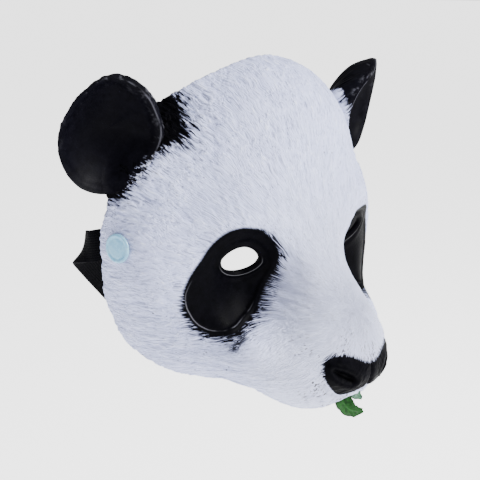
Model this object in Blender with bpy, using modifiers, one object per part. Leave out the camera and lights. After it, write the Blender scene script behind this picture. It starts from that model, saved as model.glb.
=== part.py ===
"""Panda half mask: a moulded latex face with two cupped ears, an elastic strap on
two press snaps, and two leaf slips held under the upper lip.

Sizes in the tables are millimetres; the model is in metres, +Z up.
The origin is midway between the two eye holes. The face looks along -Y, and the
wearer's right side is -X.
"""
import math

import bpy
import bmesh
import numpy as np
from mathutils import Matrix, Vector

MM = 0.001

# ---------------------------------------------------------------- sizes, mm
WALL = 2.0                # latex wall of the face
GAP = 0.45                # clearance between touching pieces
CORE = (0.0, 58.0, 0.0)   # centre that the face is measured out from
FACE_SPOKES = 68          # cells around the face shell
FACE_RINGS = 18           # cells from its middle to its rim
EYE_X, EYE_Z = 40.2, 2.2  # eye hole centre
EYE_W, EYE_H = 23.4, 14.6 # almond eye hole
EYE_TILT = 10.0            # degrees, outer corner up
EYE_TURN = 24.0           # degrees the hole is cut outwards from straight ahead
STRAP_W, STRAP_T = 16.0, 1.4
SNAP_Y, SNAP_Z = 28.5, 11.2
SNAP_R = 7.2              # cap radius
POST_R = 1.9              # snap post
HOLE_R = 2.4              # hole for the post
BACK_R = 5.5              # snap back disc

# The head's masses. Each is an ellipsoid: centre, radii, tilt about X in degrees,
# blend width with what comes before it, and +1 to add or -1 to hollow out.
# One off the middle plane has a twin on the other side.
MASS_COLUMNS = ("name", "x", "y", "z", "rx", "ry", "rz", "tilt", "blend", "sign")
MASSES = (
    ("cranium",  0.0,  41.5,  14.5, 91.5, 40.0, 83.0,   0.0,  0.0,  1),
    ("temple",  55.0,  27.5,   6.0, 33.2, 24.0, 36.0,   0.0, 12.0,  1),
    ("forehead", 0.0,  21.0,  40.0, 52.0, 36.5, 52.5,   6.0, 40.0,  1),
    ("brow",    28.0,   7.5,  14.0, 29.0, 29.5, 21.0,   0.0, 30.0,  1),
    ("bridge",   0.0,  -7.0, -14.5, 19.5, 26.5, 42.5, -21.0, 30.0,  1),
    ("snout",    0.0, -17.0, -47.5, 39.0, 37.0, 36.0,  -1.0, 30.0,  1),
    ("cheek",   41.0,  33.5, -33.5, 35.0, 38.0, 35.0,   0.0, 40.0,  1),
    ("jowl",    27.0,  -8.0, -40.5, 26.0, 25.0, 20.0,   0.0, 26.0,  1),
    ("socket",  41.0, -33.5,  -7.5, 17.5, 30.5, 29.0,   0.0, 26.0, -1),
    ("nose_pad", 0.0, -47.5, -51.5, 20.5,  9.0, 10.5,   0.0,  9.0,  1),
)

# The cut rim of the mask: around the face from the top (0) to the chin (180), how
# far from straight ahead (-Y) the rim lies, both in degrees seen from CORE.
RIM_COLUMNS = ("around", "open")
RIM = (
    (0.0, 70.5), (14.0, 70.3), (24.0, 72.2), (33.0, 75.0), (48.0, 82.5), (61.0, 82.0),
    (71.0, 77.8), (80.0, 79.3), (90.0, 80.0), (102.0, 83.0), (111.0, 81.2),
    (118.0, 79.0), (124.0, 72.0), (131.0, 65.5), (137.5, 58.5), (143.0, 49.0),
    (149.0, 45.2), (157.0, 43.6), (164.0, 40.4), (169.5, 36.0), (174.0, 32.4),
    (180.0, 31.5),
)

# The ear's rim in the ear's own axes: angle from the rear (0) over the top (90),
# radius, and height off the mean plane of the opening.
EAR_CENTRE = (91.0, 28.0, 64.5)
EAR_BACK_AXIS = (0.894, 0.447, 0.0)
EAR_UP_AXIS = (0.076, -0.153, 0.985)
EAR_ROOT = (68.0, 44.0, 56.0)   # where the ear's horn runs into the head
EAR_CUP = 13.0                  # depth of the cup
EAR_RIM_COLUMNS = ("angle", "radius", "off")
EAR_RIM = (
    (0.0, 24.2, 0.0), (30.0, 23.6, 0.9), (60.0, 25.2, 1.4), (90.0, 28.2, 2.2),
    (120.0, 25.4, 4.6), (150.0, 22.4, 0.8), (180.0, 22.6, -1.6), (210.0, 22.0, -1.6),
    (240.0, 24.5, -0.8), (270.0, 27.6, -0.6), (300.0, 28.2, 0.3), (330.0, 26.2, 0.1),
)

# Half of the strap, from the snap to the middle of the loop behind the head: middle
# of the band, then the direction of its width.
STRAP_COLUMNS = ("x", "y", "z", "wx", "wy", "wz")
STRAP = (
    (90.8, 49.0,   8.0,  0.00, -0.10, 1.00),
    (90.2, 55.4,   6.2, -0.13, -0.27, 0.95),
    (87.5, 61.4,   1.9, -0.34, -0.34, 0.87),
    (80.0, 65.5,  -6.5, -0.62, -0.25, 0.74),
    (67.0, 68.5, -21.5, -0.70, -0.12, 0.70),
    (50.0, 71.5, -41.0, -0.68, -0.05, 0.73),
    (32.0, 73.5, -58.0, -0.55,  0.00, 0.83),
    (15.0, 74.5, -67.5, -0.28,  0.00, 0.96),
    ( 0.0, 75.0, -70.5,  0.00,  0.00, 1.00),
)

# The leaf slips: middle line from inside the lip outwards, and half width.
LEAF_COLUMNS = ("x", "y", "z", "half")
LEAF_FRONT = (
    (-4.4, -33.0, -58.4, 3.9), (-4.4, -38.5, -63.4, 4.4), (-4.3, -41.4, -68.0, 4.6),
    (-3.9, -43.7, -72.6, 4.6), (-1.9, -46.0, -76.0, 3.9), (1.4, -47.9, -77.3, 2.5),
    (4.6, -49.2, -77.2, 0.8),
)
LEAF_BACK = (
    (4.2, -32.0, -59.0, 2.8), (4.4, -37.5, -64.0, 3.2), (4.8, -41.6, -68.3, 3.3),
    (5.2, -44.8, -71.2, 2.6), (6.0, -47.3, -72.0, 0.8),
)
LEAF_T = 0.9


# ---------------------------------------------------------------- the head's form
def ellipsoid(p, centre, radii, tilt):
    """Rough distance from points p to an ellipsoid tilted about X."""
    q = p - np.array(centre)
    t = math.radians(tilt)
    c, s = math.cos(t), math.sin(t)
    q = np.stack([q[..., 0], c * q[..., 1] + s * q[..., 2],
                  -s * q[..., 1] + c * q[..., 2]], axis=-1)
    a = q / np.array(radii)
    b = a / np.array(radii)
    k0 = np.sqrt((a * a).sum(-1)) + 1e-9
    k1 = np.sqrt((b * b).sum(-1)) + 1e-9
    return k0 * (k0 - 1.0) / k1


def blend_min(a, b, k):
    """Smaller of a and b, rounded over a width k."""
    if k <= 0.0:
        return np.minimum(a, b)
    h = np.maximum(k - np.abs(a - b), 0.0) / k
    return np.minimum(a, b) - h ** 3 * k / 6.0


def head_value(p):
    """Negative inside the head, positive outside, near the distance in mm."""
    d = None
    for name, x, y, z, rx, ry, rz, tilt, k, sign in MASSES:
        e = ellipsoid(p, (x, y, z), (rx, ry, rz), tilt)
        if x != 0.0:
            e = blend_min(e, ellipsoid(p, (-x, y, z), (rx, ry, rz), tilt), k)
        if d is None:
            d = e
        elif sign > 0:
            d = blend_min(d, e, k)
        else:
            d = -blend_min(-d, e, k)
    return d


def head_gradient(p, h=0.2):
    g = []
    for i in range(3):
        e = np.zeros(3)
        e[i] = h
        g.append((head_value(p + e) - head_value(p - e)) / (2.0 * h))
    return np.stack(g, axis=-1)


def head_surface(directions, lift=0.0):
    """Points where rays from CORE leave the head, lifted off it by lift."""
    d = np.asarray(directions, float)
    d = d / np.linalg.norm(d, axis=-1, keepdims=True)
    core = np.array(CORE)
    lo = np.full(d.shape[:-1], 8.0)
    hi = np.full(d.shape[:-1], 190.0)
    for _ in range(40):
        mid = 0.5 * (lo + hi)
        inside = head_value(core + mid[..., None] * d) < 0.0
        lo = np.where(inside, mid, lo)
        hi = np.where(inside, hi, mid)
    p = core + (0.5 * (lo + hi))[..., None] * d
    if lift:
        g = head_gradient(p)
        p = p + lift * g / np.linalg.norm(g, axis=-1, keepdims=True)
    return p


def push_off_head(p, value):
    """Move points along the head's normal until they are value mm off its surface."""
    for _ in range(6):
        g = head_gradient(p)
        n2 = (g * g).sum(-1, keepdims=True)
        p = p - (head_value(p)[..., None] - value * np.sqrt(n2)) * g / n2
    return p


def smooth_table(rows, x, closed=0.0):
    """Rounded interpolation of the last columns of a table over its first one."""
    rows = np.array(rows, float)
    if closed:
        rows = np.vstack([rows[-2:] - [closed] + [0.0] * (rows.shape[1] - 1),
                          rows, rows[:3] + [closed] + [0.0] * (rows.shape[1] - 1)])
    k, v = rows[:, 0], rows[:, 1:]
    m = np.zeros_like(v)
    m[1:-1] = (v[2:] - v[:-2]) / (k[2:] - k[:-2])[:, None]
    if not closed:
        m[0] = 0.0
        m[-1] = 0.0
    x = np.asarray(x, float)
    i = np.clip(np.searchsorted(k, x, side="right") - 1, 0, len(k) - 2)
    h = (k[i + 1] - k[i])
    t = ((x - k[i]) / h)[..., None]
    h = h[..., None]
    return ((2 * t**3 - 3 * t**2 + 1) * v[i] + (t**3 - 2 * t**2 + t) * h * m[i]
            + (-2 * t**3 + 3 * t**2) * v[i + 1] + (t**3 - t**2) * h * m[i + 1])


def closed_rows(rows, period):
    """A table that goes round once, repeated a little past both ends."""
    rows = [tuple(r) for r in rows]
    before = [(r[0] - period,) + r[1:] for r in rows[-3:]]
    after = [(r[0] + period,) + r[1:] for r in rows[:3]]
    return before + rows + after


def face_direction(u, v):
    """A place (u, v) in the unit disc as a direction from CORE; v is up."""
    rho = np.hypot(u, v)
    around = np.degrees(np.arctan2(np.abs(u), v))
    t = np.radians(smooth_table(RIM, around)[..., 0]) * rho
    safe = np.maximum(rho, 1e-9)
    return np.stack([np.sin(t) * u / safe, -np.cos(t), np.sin(t) * v / safe], axis=-1)


def dome_to_disc(c):
    """Points of the upper half of a unit sphere as places in the unit disc."""
    rho = 1.0 - np.degrees(np.arcsin(np.clip(c[:, 2], 0.0, 1.0))) / 90.0
    flat = np.maximum(np.hypot(c[:, 0], c[:, 1]), 1e-9)
    return rho * c[:, 0] / flat, rho * c[:, 1] / flat


# ---------------------------------------------------------------- building helpers
def new_collection(name):
    c = bpy.data.collections.new(name)
    bpy.context.scene.collection.children.link(c)
    return c


def material(name, colour, roughness, metallic=0.0):
    m = bpy.data.materials.new(name)
    m.use_nodes = True
    b = m.node_tree.nodes["Principled BSDF"]
    b.inputs["Base Color"].default_value = (*colour, 1.0)
    b.inputs["Roughness"].default_value = roughness
    b.inputs["Metallic"].default_value = metallic
    m.diffuse_color = (*colour, 1.0)
    return m


def finish_mesh(name, bm, collection, mat=None, smooth=True):
    me = bpy.data.meshes.new(name)
    bm.to_mesh(me)
    bm.free()
    if smooth:
        me.shade_smooth()
    if mat is not None:
        me.materials.append(mat)
    ob = bpy.data.objects.new(name, me)
    collection.objects.link(ob)
    return ob


def place(bm, points_mm):
    for v, p in zip(bm.verts, points_mm):
        v.co = Vector(p) * MM


def face_out(bm):
    """Turn the faces of a closed mesh outwards."""
    bmesh.ops.recalc_face_normals(bm, faces=bm.faces[:])
    if bm.calc_volume(signed=True) < 0.0:
        bmesh.ops.reverse_faces(bm, faces=bm.faces[:])


def coords(bm):
    bm.verts.ensure_lookup_table()
    return np.array([v.co[:] for v in bm.verts], float)


def boolean(ob, cutter, operation="DIFFERENCE"):
    m = ob.modifiers.new(operation.lower() + "_" + cutter.name, "BOOLEAN")
    m.operation = operation
    m.solver = "EXACT"
    m.object = cutter


def as_cutter(ob):
    ob.hide_render = True
    ob.display_type = "WIRE"
    return ob


def frame_matrix(origin_mm, z_axis, x_hint):
    z = Vector(z_axis).normalized()
    x = Vector(x_hint)
    x = (x - z * x.dot(z)).normalized()
    y = z.cross(x)
    m = Matrix((x, y, z)).transposed().to_4x4()
    m.translation = Vector(origin_mm) * MM
    return m


# ---------------------------------------------------------------- start clean
for ob in list(bpy.data.objects):
    bpy.data.objects.remove(ob, do_unlink=True)

PARTS = new_collection("panda_half_mask")
CUTTERS = new_collection("cutters")

LATEX_WHITE = material("latex_white", (0.80, 0.81, 0.86), 0.55)
LATEX_BLACK = material("latex_black", (0.012, 0.011, 0.016), 0.40)
ELASTIC = material("elastic_black", (0.012, 0.012, 0.014), 0.80)
SNAP_BLUE = material("snap_plastic", (0.42, 0.62, 0.74), 0.35)
LEAF_GREEN = material("leaf_green", (0.07, 0.24, 0.06), 0.50)
LEAF_PALE = material("leaf_pale", (0.24, 0.38, 0.30), 0.55)


# ---------------------------------------------------------------- where the snaps sit
def snap_frame(side):
    """Surface point, outward normal, backward tangent and up tangent of a snap."""
    d = np.array([90.0 - CORE[0], SNAP_Y - CORE[1], SNAP_Z - CORE[2]])
    for _ in range(12):
        p = head_surface(d)
        d = np.array([p[0], SNAP_Y - CORE[1], SNAP_Z - CORE[2]])
    p = head_surface(d)
    g = head_gradient(p)
    n = g / np.linalg.norm(g)
    t = np.array([0.0, 1.0, 0.0])
    t = t - n * (t @ n)
    t /= np.linalg.norm(t)
    up = np.cross(n, t)
    if up[2] < 0.0:
        up = -up
    flip = np.array([side, 1.0, 1.0])
    return p * flip, n * flip, t * flip, up * flip


# ---------------------------------------------------------------- face shell
def build_face():
    bm = bmesh.new()
    bmesh.ops.create_uvsphere(bm, u_segments=FACE_SPOKES, v_segments=2 * FACE_RINGS, radius=1.0)
    bmesh.ops.delete(bm, geom=[v for v in bm.verts if v.co.z < -1e-4], context="VERTS")
    u, v = dome_to_disc(coords(bm))
    place(bm, head_surface(face_direction(u, v)))
    bm.normal_update()
    middle = min(bm.faces, key=lambda f: f.calc_center_median().xz.length)
    if middle.normal.y > 0.0:
        bmesh.ops.reverse_faces(bm, faces=bm.faces[:])
    ob = finish_mesh("face_shell", bm, PARTS, LATEX_WHITE)
    s = ob.modifiers.new("wall", "SOLIDIFY")
    s.thickness = WALL * MM
    s.offset = -1.0
    s.use_rim = True
    s.use_even_offset = False
    return ob


def eye_cutter(side):
    bm = bmesh.new()
    bmesh.ops.create_cone(bm, cap_ends=True, segments=28, radius1=1.0, radius2=1.0, depth=1.0)
    a = math.radians(EYE_TILT)
    turn = math.tan(math.radians(EYE_TURN))
    for v in bm.verts:
        th = math.atan2(v.co.y, v.co.x)
        x = 0.5 * EYE_W * math.cos(th)
        # pointed corners
        z = 0.5 * EYE_H * math.copysign(abs(math.sin(th)) ** 1.2, math.sin(th))
        x, z = x * math.cos(a) - z * math.sin(a), x * math.sin(a) + z * math.cos(a)
        y = 40.0 * v.co.z - 3.0
        x -= turn * (y + 3.0)
        v.co = Vector((side * (EYE_X + x), y, EYE_Z + z)) * MM
    face_out(bm)
    return as_cutter(finish_mesh("eye_cutter_%s" % ("left" if side > 0 else "right"),
                                 bm, CUTTERS, smooth=False))


def post_cutter(side, label, radius, depth):
    p, n, t, up = snap_frame(side)
    bm = bmesh.new()
    bmesh.ops.create_cone(bm, cap_ends=True, segments=20, radius1=radius * MM,
                          radius2=radius * MM, depth=depth * MM)
    bmesh.ops.transform(bm, matrix=frame_matrix(p, n, up), verts=bm.verts[:])
    face_out(bm)
    return as_cutter(finish_mesh("%s_%s" % (label, "left" if side > 0 else "right"),
                                 bm, CUTTERS, smooth=False))


face = build_face()
eye_cutters = {s: eye_cutter(s) for s in (-1, 1)}
shell_posts = {s: post_cutter(s, "shell_post_cutter", HOLE_R, 12.0) for s in (-1, 1)}
strap_posts = {s: post_cutter(s, "strap_post_cutter", HOLE_R, 22.0) for s in (-1, 1)}
for s in (-1, 1):
    boolean(face, eye_cutters[s])
    boolean(face, shell_posts[s])


# ---------------------------------------------------------------- ears
def head_cutter():
    """The head itself, a little swollen, to seat the ears on."""
    bm = bmesh.new()
    bmesh.ops.create_uvsphere(bm, u_segments=96, v_segments=48, radius=1.0)
    place(bm, head_surface(coords(bm), lift=GAP))
    face_out(bm)
    return as_cutter(finish_mesh("head_cutter", bm, CUTTERS, smooth=False))


def ear_axes():
    w = np.array(EAR_BACK_AXIS)
    w = w / np.linalg.norm(w)
    up = np.array(EAR_UP_AXIS)
    up = up - w * (up @ w)
    up = up / np.linalg.norm(up)
    n = np.cross(up, w)
    if n[1] > 0.0:
        n = -n
    return w, up, n


def ear_rim(theta):
    """Rim point of the left ear at angles theta in degrees."""
    w, up, n = ear_axes()
    row = smooth_table(closed_rows(EAR_RIM, 360.0), np.asarray(theta) % 360.0)
    r, off = row[..., 0], row[..., 1]
    a = np.radians(theta)
    return (np.array(EAR_CENTRE) + (r * np.cos(a))[..., None] * w
            + (r * np.sin(a))[..., None] * up + off[..., None] * n)


def ear_point(theta, s):
    """s from -1, the bottom of the cup, through 0, the rim, to 1, the root."""
    w, up, n = ear_axes()
    rim = ear_rim(theta)
    centre = np.array(EAR_CENTRE)
    q = np.clip(-s, 0.0, 1.0)
    cup = rim + (centre - rim) * q[..., None] - (EAR_CUP * np.sin(0.5 * np.pi * q) ** 0.8)[..., None] * n
    root = np.array(EAR_ROOT)
    b = np.clip(s, 0.0, 1.0)
    # the horn leaves the rim backwards, then closes on its root
    lean = (7.5 * np.sin(np.pi * np.clip(b, 0.0, 1.0)) ** 0.7)[..., None]
    out = rim - centre
    out = out / np.linalg.norm(out, axis=-1, keepdims=True)
    swell = (0.55 + 0.65 * np.clip(np.cos(np.radians(theta - 115.0)), 0.0, 1.0))[..., None]
    horn = rim + (root - rim) * (b ** 1.05)[..., None] + lean * (swell * out - 0.75 * n)
    return np.where((s < 0.0)[..., None], cup, horn)


def build_ear(side, cutter):
    bm = bmesh.new()
    bmesh.ops.create_uvsphere(bm, u_segments=36, v_segments=20, radius=1.0)
    c = coords(bm)
    theta = np.degrees(np.arctan2(c[:, 1], c[:, 0]))
    s = -np.degrees(np.arcsin(np.clip(c[:, 2], -1.0, 1.0))) / 90.0
    p = ear_point(theta, s)
    place(bm, p * np.array([side, 1.0, 1.0]))
    face_out(bm)
    name = "ear_left" if side > 0 else "ear_right"
    ob = finish_mesh(name, bm, PARTS, LATEX_BLACK)
    boolean(ob, cutter)
    return ob


seat = head_cutter()
for s in (-1, 1):
    build_ear(s, seat)


# ---------------------------------------------------------------- snaps
def turned(name, side, profile, mat):
    """A closed profile of (radius, height along the snap's normal), turned."""
    p, n, t, up = snap_frame(side)
    bm = bmesh.new()
    vs = [bm.verts.new((r * MM, 0.0, h * MM)) for r, h in profile]
    for a, b in zip(vs[:-1], vs[1:]):
        bm.edges.new((a, b))
    ob = finish_mesh(name, bm, PARTS, mat, smooth=False)
    ob.matrix_world = frame_matrix(p, n, up)
    m = ob.modifiers.new("turn", "SCREW")
    m.angle = math.tau
    m.steps = 24
    m.render_steps = 24
    m.use_merge_vertices = True
    m.merge_threshold = 0.00002
    m.use_smooth_shade = True
    m.use_normal_calculate = True
    return ob


STRAP_OUT = WALL + GAP + 0.25          # outer face of the strap below the surface
STRAP_IN = STRAP_OUT + STRAP_T
BACK_TOP = STRAP_IN + 1.0             # outer face of the back disc

# cap and post, from the top of the dome down its outer side to the post's end
CAP_PROFILE = (
    (0.0, 1.45), (4.7, 1.40), (5.5, 1.25), (5.9, 1.60), (6.7, 1.55), (SNAP_R, 0.95),
    (SNAP_R, 0.30), (6.6, 0.25), (3.2, 0.50), (POST_R, 0.50),
    (POST_R, -(BACK_TOP + 1.6)), (0.0, -(BACK_TOP + 1.6)),
)
# back disc: a ring round the post's end
BACK_PROFILE = (
    (HOLE_R - 0.1, -BACK_TOP), (BACK_R - 0.3, -BACK_TOP), (BACK_R, -BACK_TOP - 0.4),
    (BACK_R - 0.6, -BACK_TOP - 1.4), (HOLE_R - 0.1, -BACK_TOP - 1.6),
    (HOLE_R - 0.1, -BACK_TOP),
)
for s in (-1, 1):
    label = "left" if s > 0 else "right"
    turned("snap_cap_" + label, s, CAP_PROFILE, SNAP_BLUE)
    turned("snap_back_" + label, s, BACK_PROFILE, SNAP_BLUE)


# ---------------------------------------------------------------- strap
def strap_stations():
    """Middle points and width directions of the left half, from its end to x = 0."""
    p, n, t, up = snap_frame(1)
    depth = STRAP_OUT + 0.5 * STRAP_T
    rows = []
    for along in (-9.0, 0.0, 9.0, 15.5):
        q = push_off_head(np.array([p + t * along - n * depth]), -depth)[0]
        q[2] = SNAP_Z - 0.13 * along
        rows.append((*q, *up))
    rows += [tuple(r) for r in STRAP]
    return rows


def strap_curve(count):
    """Even stations along the whole strap, left end to right end."""
    half = np.array(strap_stations())
    mirror = half[:-1][::-1] * np.array([-1, 1, 1, -1, 1, 1])
    rows = np.vstack([half, mirror])
    step = np.linalg.norm(np.diff(rows[:, :3], axis=0), axis=1)
    s = np.concatenate([[0.0], np.cumsum(step)])
    table = np.column_stack([s, rows])
    fine = smooth_table(table, np.linspace(0.0, s[-1], 1200))
    d = np.concatenate([[0.0], np.cumsum(np.linalg.norm(np.diff(fine[:, :3], axis=0), axis=1))])
    even = np.linspace(0.0, d[-1], count)
    out = np.column_stack([np.interp(even, d, fine[:, k]) for k in range(6)])
    return out[:, :3], out[:, 3:], d[-1]


def build_strap():
    along, across = 84, 3
    centre, width, length = strap_curve(along + 1)
    tangent = np.gradient(centre, axis=0)
    tangent /= np.linalg.norm(tangent, axis=1, keepdims=True)
    width = width - tangent * (width * tangent).sum(1, keepdims=True)
    width /= np.linalg.norm(width, axis=1, keepdims=True)
    bm = bmesh.new()
    bmesh.ops.create_grid(bm, x_segments=along, y_segments=across, size=1.0)
    c = coords(bm)
    i = np.rint((c[:, 0] + 1.0) * 0.5 * along).astype(int)
    p = centre[i] + width[i] * (c[:, 1] * 0.5 * STRAP_W)[:, None]
    # under the latex the band follows the wall
    depth = STRAP_OUT + 0.5 * STRAP_T
    pushed = push_off_head(p, -depth)
    under = np.clip((47.0 - p[:, 1]) / 6.0, 0.0, 1.0)[:, None]
    under = under * (np.abs(p[:, 0:1]) > 60.0)
    p = p + (pushed - p) * under
    place(bm, p)
    bm.normal_update()
    ob = finish_mesh("strap", bm, PARTS, ELASTIC)
    m = ob.modifiers.new("thickness", "SOLIDIFY")
    m.thickness = STRAP_T * MM
    m.offset = 0.0
    m.use_rim = True
    for s in (-1, 1):
        boolean(ob, strap_posts[s])
    return ob, length


strap, strap_length = build_strap()


# ---------------------------------------------------------------- leaf slips
def build_leaf(name, rows, mat, cup):
    r = np.array(rows)
    s = np.concatenate([[0.0], np.cumsum(np.linalg.norm(np.diff(r[:, :3], axis=0), axis=1))])
    along, across = 12, 4
    bm = bmesh.new()
    bmesh.ops.create_grid(bm, x_segments=along, y_segments=across, size=1.0)
    c = coords(bm)
    q = smooth_table(np.column_stack([s, r]), (c[:, 0] + 1.0) * 0.5 * s[-1])
    centre, half = q[:, :3], q[:, 3]
    side = np.array([0.86, -0.30, 0.25])
    side = side / np.linalg.norm(side)
    d = smooth_table(np.column_stack([s, r[:, :3]]), np.clip((c[:, 0] + 1.0) * 0.5 * s[-1] + 0.3, 0, s[-1])) \
        - smooth_table(np.column_stack([s, r[:, :3]]), np.clip((c[:, 0] + 1.0) * 0.5 * s[-1] - 0.3, 0, s[-1]))
    d = d / np.linalg.norm(d, axis=1, keepdims=True)
    w = side - d * (d @ side)[:, None]
    w = w / np.linalg.norm(w, axis=1, keepdims=True)
    n = np.cross(d, w)
    p = centre + w * (c[:, 1] * half)[:, None] + n * (cup * (c[:, 1] ** 2 - 0.4))[:, None]
    place(bm, p)
    ob = finish_mesh(name, bm, PARTS, mat)
    m = ob.modifiers.new("thickness", "SOLIDIFY")
    m.thickness = LEAF_T * MM
    m.offset = 0.0
    m.use_rim = True
    return ob


build_leaf("leaf_front", LEAF_FRONT, LEAF_GREEN, 1.0)
build_leaf("leaf_back", LEAF_BACK, LEAF_PALE, 0.6)
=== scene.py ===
import math

import bpy
import bmesh
import numpy as np
from mathutils import Matrix, Vector


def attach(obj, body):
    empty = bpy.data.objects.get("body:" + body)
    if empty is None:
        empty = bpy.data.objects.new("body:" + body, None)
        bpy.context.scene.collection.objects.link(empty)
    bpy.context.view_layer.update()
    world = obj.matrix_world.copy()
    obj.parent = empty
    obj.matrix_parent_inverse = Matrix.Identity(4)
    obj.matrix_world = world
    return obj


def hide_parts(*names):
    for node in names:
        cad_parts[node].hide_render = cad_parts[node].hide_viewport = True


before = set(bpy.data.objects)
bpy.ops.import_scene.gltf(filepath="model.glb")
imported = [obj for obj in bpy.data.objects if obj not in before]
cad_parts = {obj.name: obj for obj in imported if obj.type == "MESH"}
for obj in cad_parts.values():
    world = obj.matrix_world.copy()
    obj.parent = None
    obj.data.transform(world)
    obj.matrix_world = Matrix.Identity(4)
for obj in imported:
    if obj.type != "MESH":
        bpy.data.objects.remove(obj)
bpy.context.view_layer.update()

MM = 0.001

# ---------------------------------------------------------------- camera
CAM_AT = (-0.3173, -0.2902, 0.1271)
CAM_TO = (0.0, 0.038, -0.004)
CAM_ROLL = 0.5
cam_data = bpy.data.cameras.new("camera")
cam = bpy.data.objects.new("camera", cam_data)
bpy.context.scene.collection.objects.link(cam)
bpy.context.scene.camera = cam
cam_data.lens = 63.75
cam_data.sensor_width = 36.0
cam_data.clip_start = 0.01
cam_data.clip_end = 600.0
aim = (Vector(CAM_TO) - Vector(CAM_AT)).to_track_quat("-Z", "Y").to_matrix().to_4x4()
cam.matrix_world = Matrix.Translation(CAM_AT) @ aim @ Matrix.Rotation(math.radians(CAM_ROLL), 4, "Z")

# ---------------------------------------------------------------- the head's form
# millimetres; the same form as the frame's CAD
WALL = 2.0
GAP = 0.45
CORE = (0.0, 58.0, 0.0)
EYE_X, EYE_Z = 40.2, 2.2
EYE_W, EYE_H = 23.4, 14.6
EYE_TILT = 10.0
EYE_TURN = 24.0
STRAP_W, STRAP_T = 16.0, 1.4
SNAP_Y, SNAP_Z = 28.5, 11.2
SNAP_R = 7.2

MASSES = (
    ("cranium",  0.0,  41.5,  14.5, 91.5, 40.0, 83.0,   0.0,  0.0,  1),
    ("temple",  55.0,  27.5,   6.0, 33.2, 24.0, 36.0,   0.0, 12.0,  1),
    ("forehead", 0.0,  21.0,  40.0, 52.0, 36.5, 52.5,   6.0, 40.0,  1),
    ("brow",    28.0,   7.5,  14.0, 29.0, 29.5, 21.0,   0.0, 30.0,  1),
    ("bridge",   0.0,  -7.0, -14.5, 19.5, 26.5, 42.5, -21.0, 30.0,  1),
    ("snout",    0.0, -17.0, -47.5, 39.0, 37.0, 36.0,  -1.0, 30.0,  1),
    ("cheek",   41.0,  33.5, -33.5, 35.0, 38.0, 35.0,   0.0, 40.0,  1),
    ("jowl",    27.0,  -8.0, -40.5, 26.0, 25.0, 20.0,   0.0, 26.0,  1),
    ("socket",  41.0, -33.5,  -7.5, 17.5, 30.5, 29.0,   0.0, 26.0, -1),
    ("nose_pad", 0.0, -47.5, -51.5, 20.5,  9.0, 10.5,   0.0,  9.0,  1),
)
RIM = (
    (0.0, 70.5), (14.0, 70.3), (24.0, 72.2), (33.0, 75.0), (48.0, 82.5), (61.0, 82.0),
    (71.0, 77.8), (80.0, 79.3), (90.0, 80.0), (102.0, 83.0), (111.0, 81.2),
    (118.0, 79.0), (124.0, 72.0), (131.0, 65.5), (137.5, 58.5), (143.0, 49.0),
    (149.0, 45.2), (157.0, 43.6), (164.0, 40.4), (169.5, 36.0), (174.0, 32.4),
    (180.0, 31.5),
)
EAR_CENTRE = (91.0, 28.0, 64.5)
EAR_BACK_AXIS = (0.894, 0.447, 0.0)
EAR_UP_AXIS = (0.076, -0.153, 0.985)
EAR_ROOT = (68.0, 44.0, 56.0)
EAR_CUP = 13.0
EAR_RIM = (
    (0.0, 24.2, 0.0), (30.0, 23.6, 0.9), (60.0, 25.2, 1.4), (90.0, 28.2, 2.2),
    (120.0, 25.4, 4.6), (150.0, 22.4, 0.8), (180.0, 22.6, -1.6), (210.0, 22.0, -1.6),
    (240.0, 24.5, -0.8), (270.0, 27.6, -0.6), (300.0, 28.2, 0.3), (330.0, 26.2, 0.1),
)
STRAP = (
    (90.8, 49.0,   8.0,  0.00, -0.10, 1.00),
    (90.2, 55.4,   6.2, -0.13, -0.27, 0.95),
    (87.5, 61.4,   1.9, -0.34, -0.34, 0.87),
    (80.0, 65.5,  -6.5, -0.62, -0.25, 0.74),
    (67.0, 68.5, -21.5, -0.70, -0.12, 0.70),
    (50.0, 71.5, -41.0, -0.68, -0.05, 0.73),
    (32.0, 73.5, -58.0, -0.55,  0.00, 0.83),
    (15.0, 74.5, -67.5, -0.28,  0.00, 0.96),
    ( 0.0, 75.0, -70.5,  0.00,  0.00, 1.00),
)
LEAF_FRONT = (
    (-4.4, -33.0, -58.4, 3.9), (-4.4, -38.5, -63.4, 4.4), (-4.3, -41.4, -68.0, 4.6),
    (-3.9, -43.7, -72.6, 4.6), (-1.9, -46.0, -76.0, 3.9), (1.4, -47.9, -77.3, 2.5),
    (4.6, -49.2, -77.2, 0.8),
)
LEAF_BACK = (
    (4.2, -32.0, -59.0, 2.8), (4.4, -37.5, -64.0, 3.2), (4.8, -41.6, -68.3, 3.3),
    (5.2, -44.8, -71.2, 2.6), (6.0, -47.3, -72.0, 0.8),
)


def ellipsoid(p, centre, radii, tilt):
    q = p - np.array(centre)
    t = math.radians(tilt)
    c, s = math.cos(t), math.sin(t)
    q = np.stack([q[..., 0], c * q[..., 1] + s * q[..., 2],
                  -s * q[..., 1] + c * q[..., 2]], axis=-1)
    a = q / np.array(radii)
    b = a / np.array(radii)
    k0 = np.sqrt((a * a).sum(-1)) + 1e-9
    k1 = np.sqrt((b * b).sum(-1)) + 1e-9
    return k0 * (k0 - 1.0) / k1


def blend_min(a, b, k):
    if k <= 0.0:
        return np.minimum(a, b)
    h = np.maximum(k - np.abs(a - b), 0.0) / k
    return np.minimum(a, b) - h ** 3 * k / 6.0


def head_value(p):
    d = None
    for name, x, y, z, rx, ry, rz, tilt, k, sign in MASSES:
        e = ellipsoid(p, (x, y, z), (rx, ry, rz), tilt)
        if x != 0.0:
            e = blend_min(e, ellipsoid(p, (-x, y, z), (rx, ry, rz), tilt), k)
        if d is None:
            d = e
        elif sign > 0:
            d = blend_min(d, e, k)
        else:
            d = -blend_min(-d, e, k)
    return d


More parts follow.
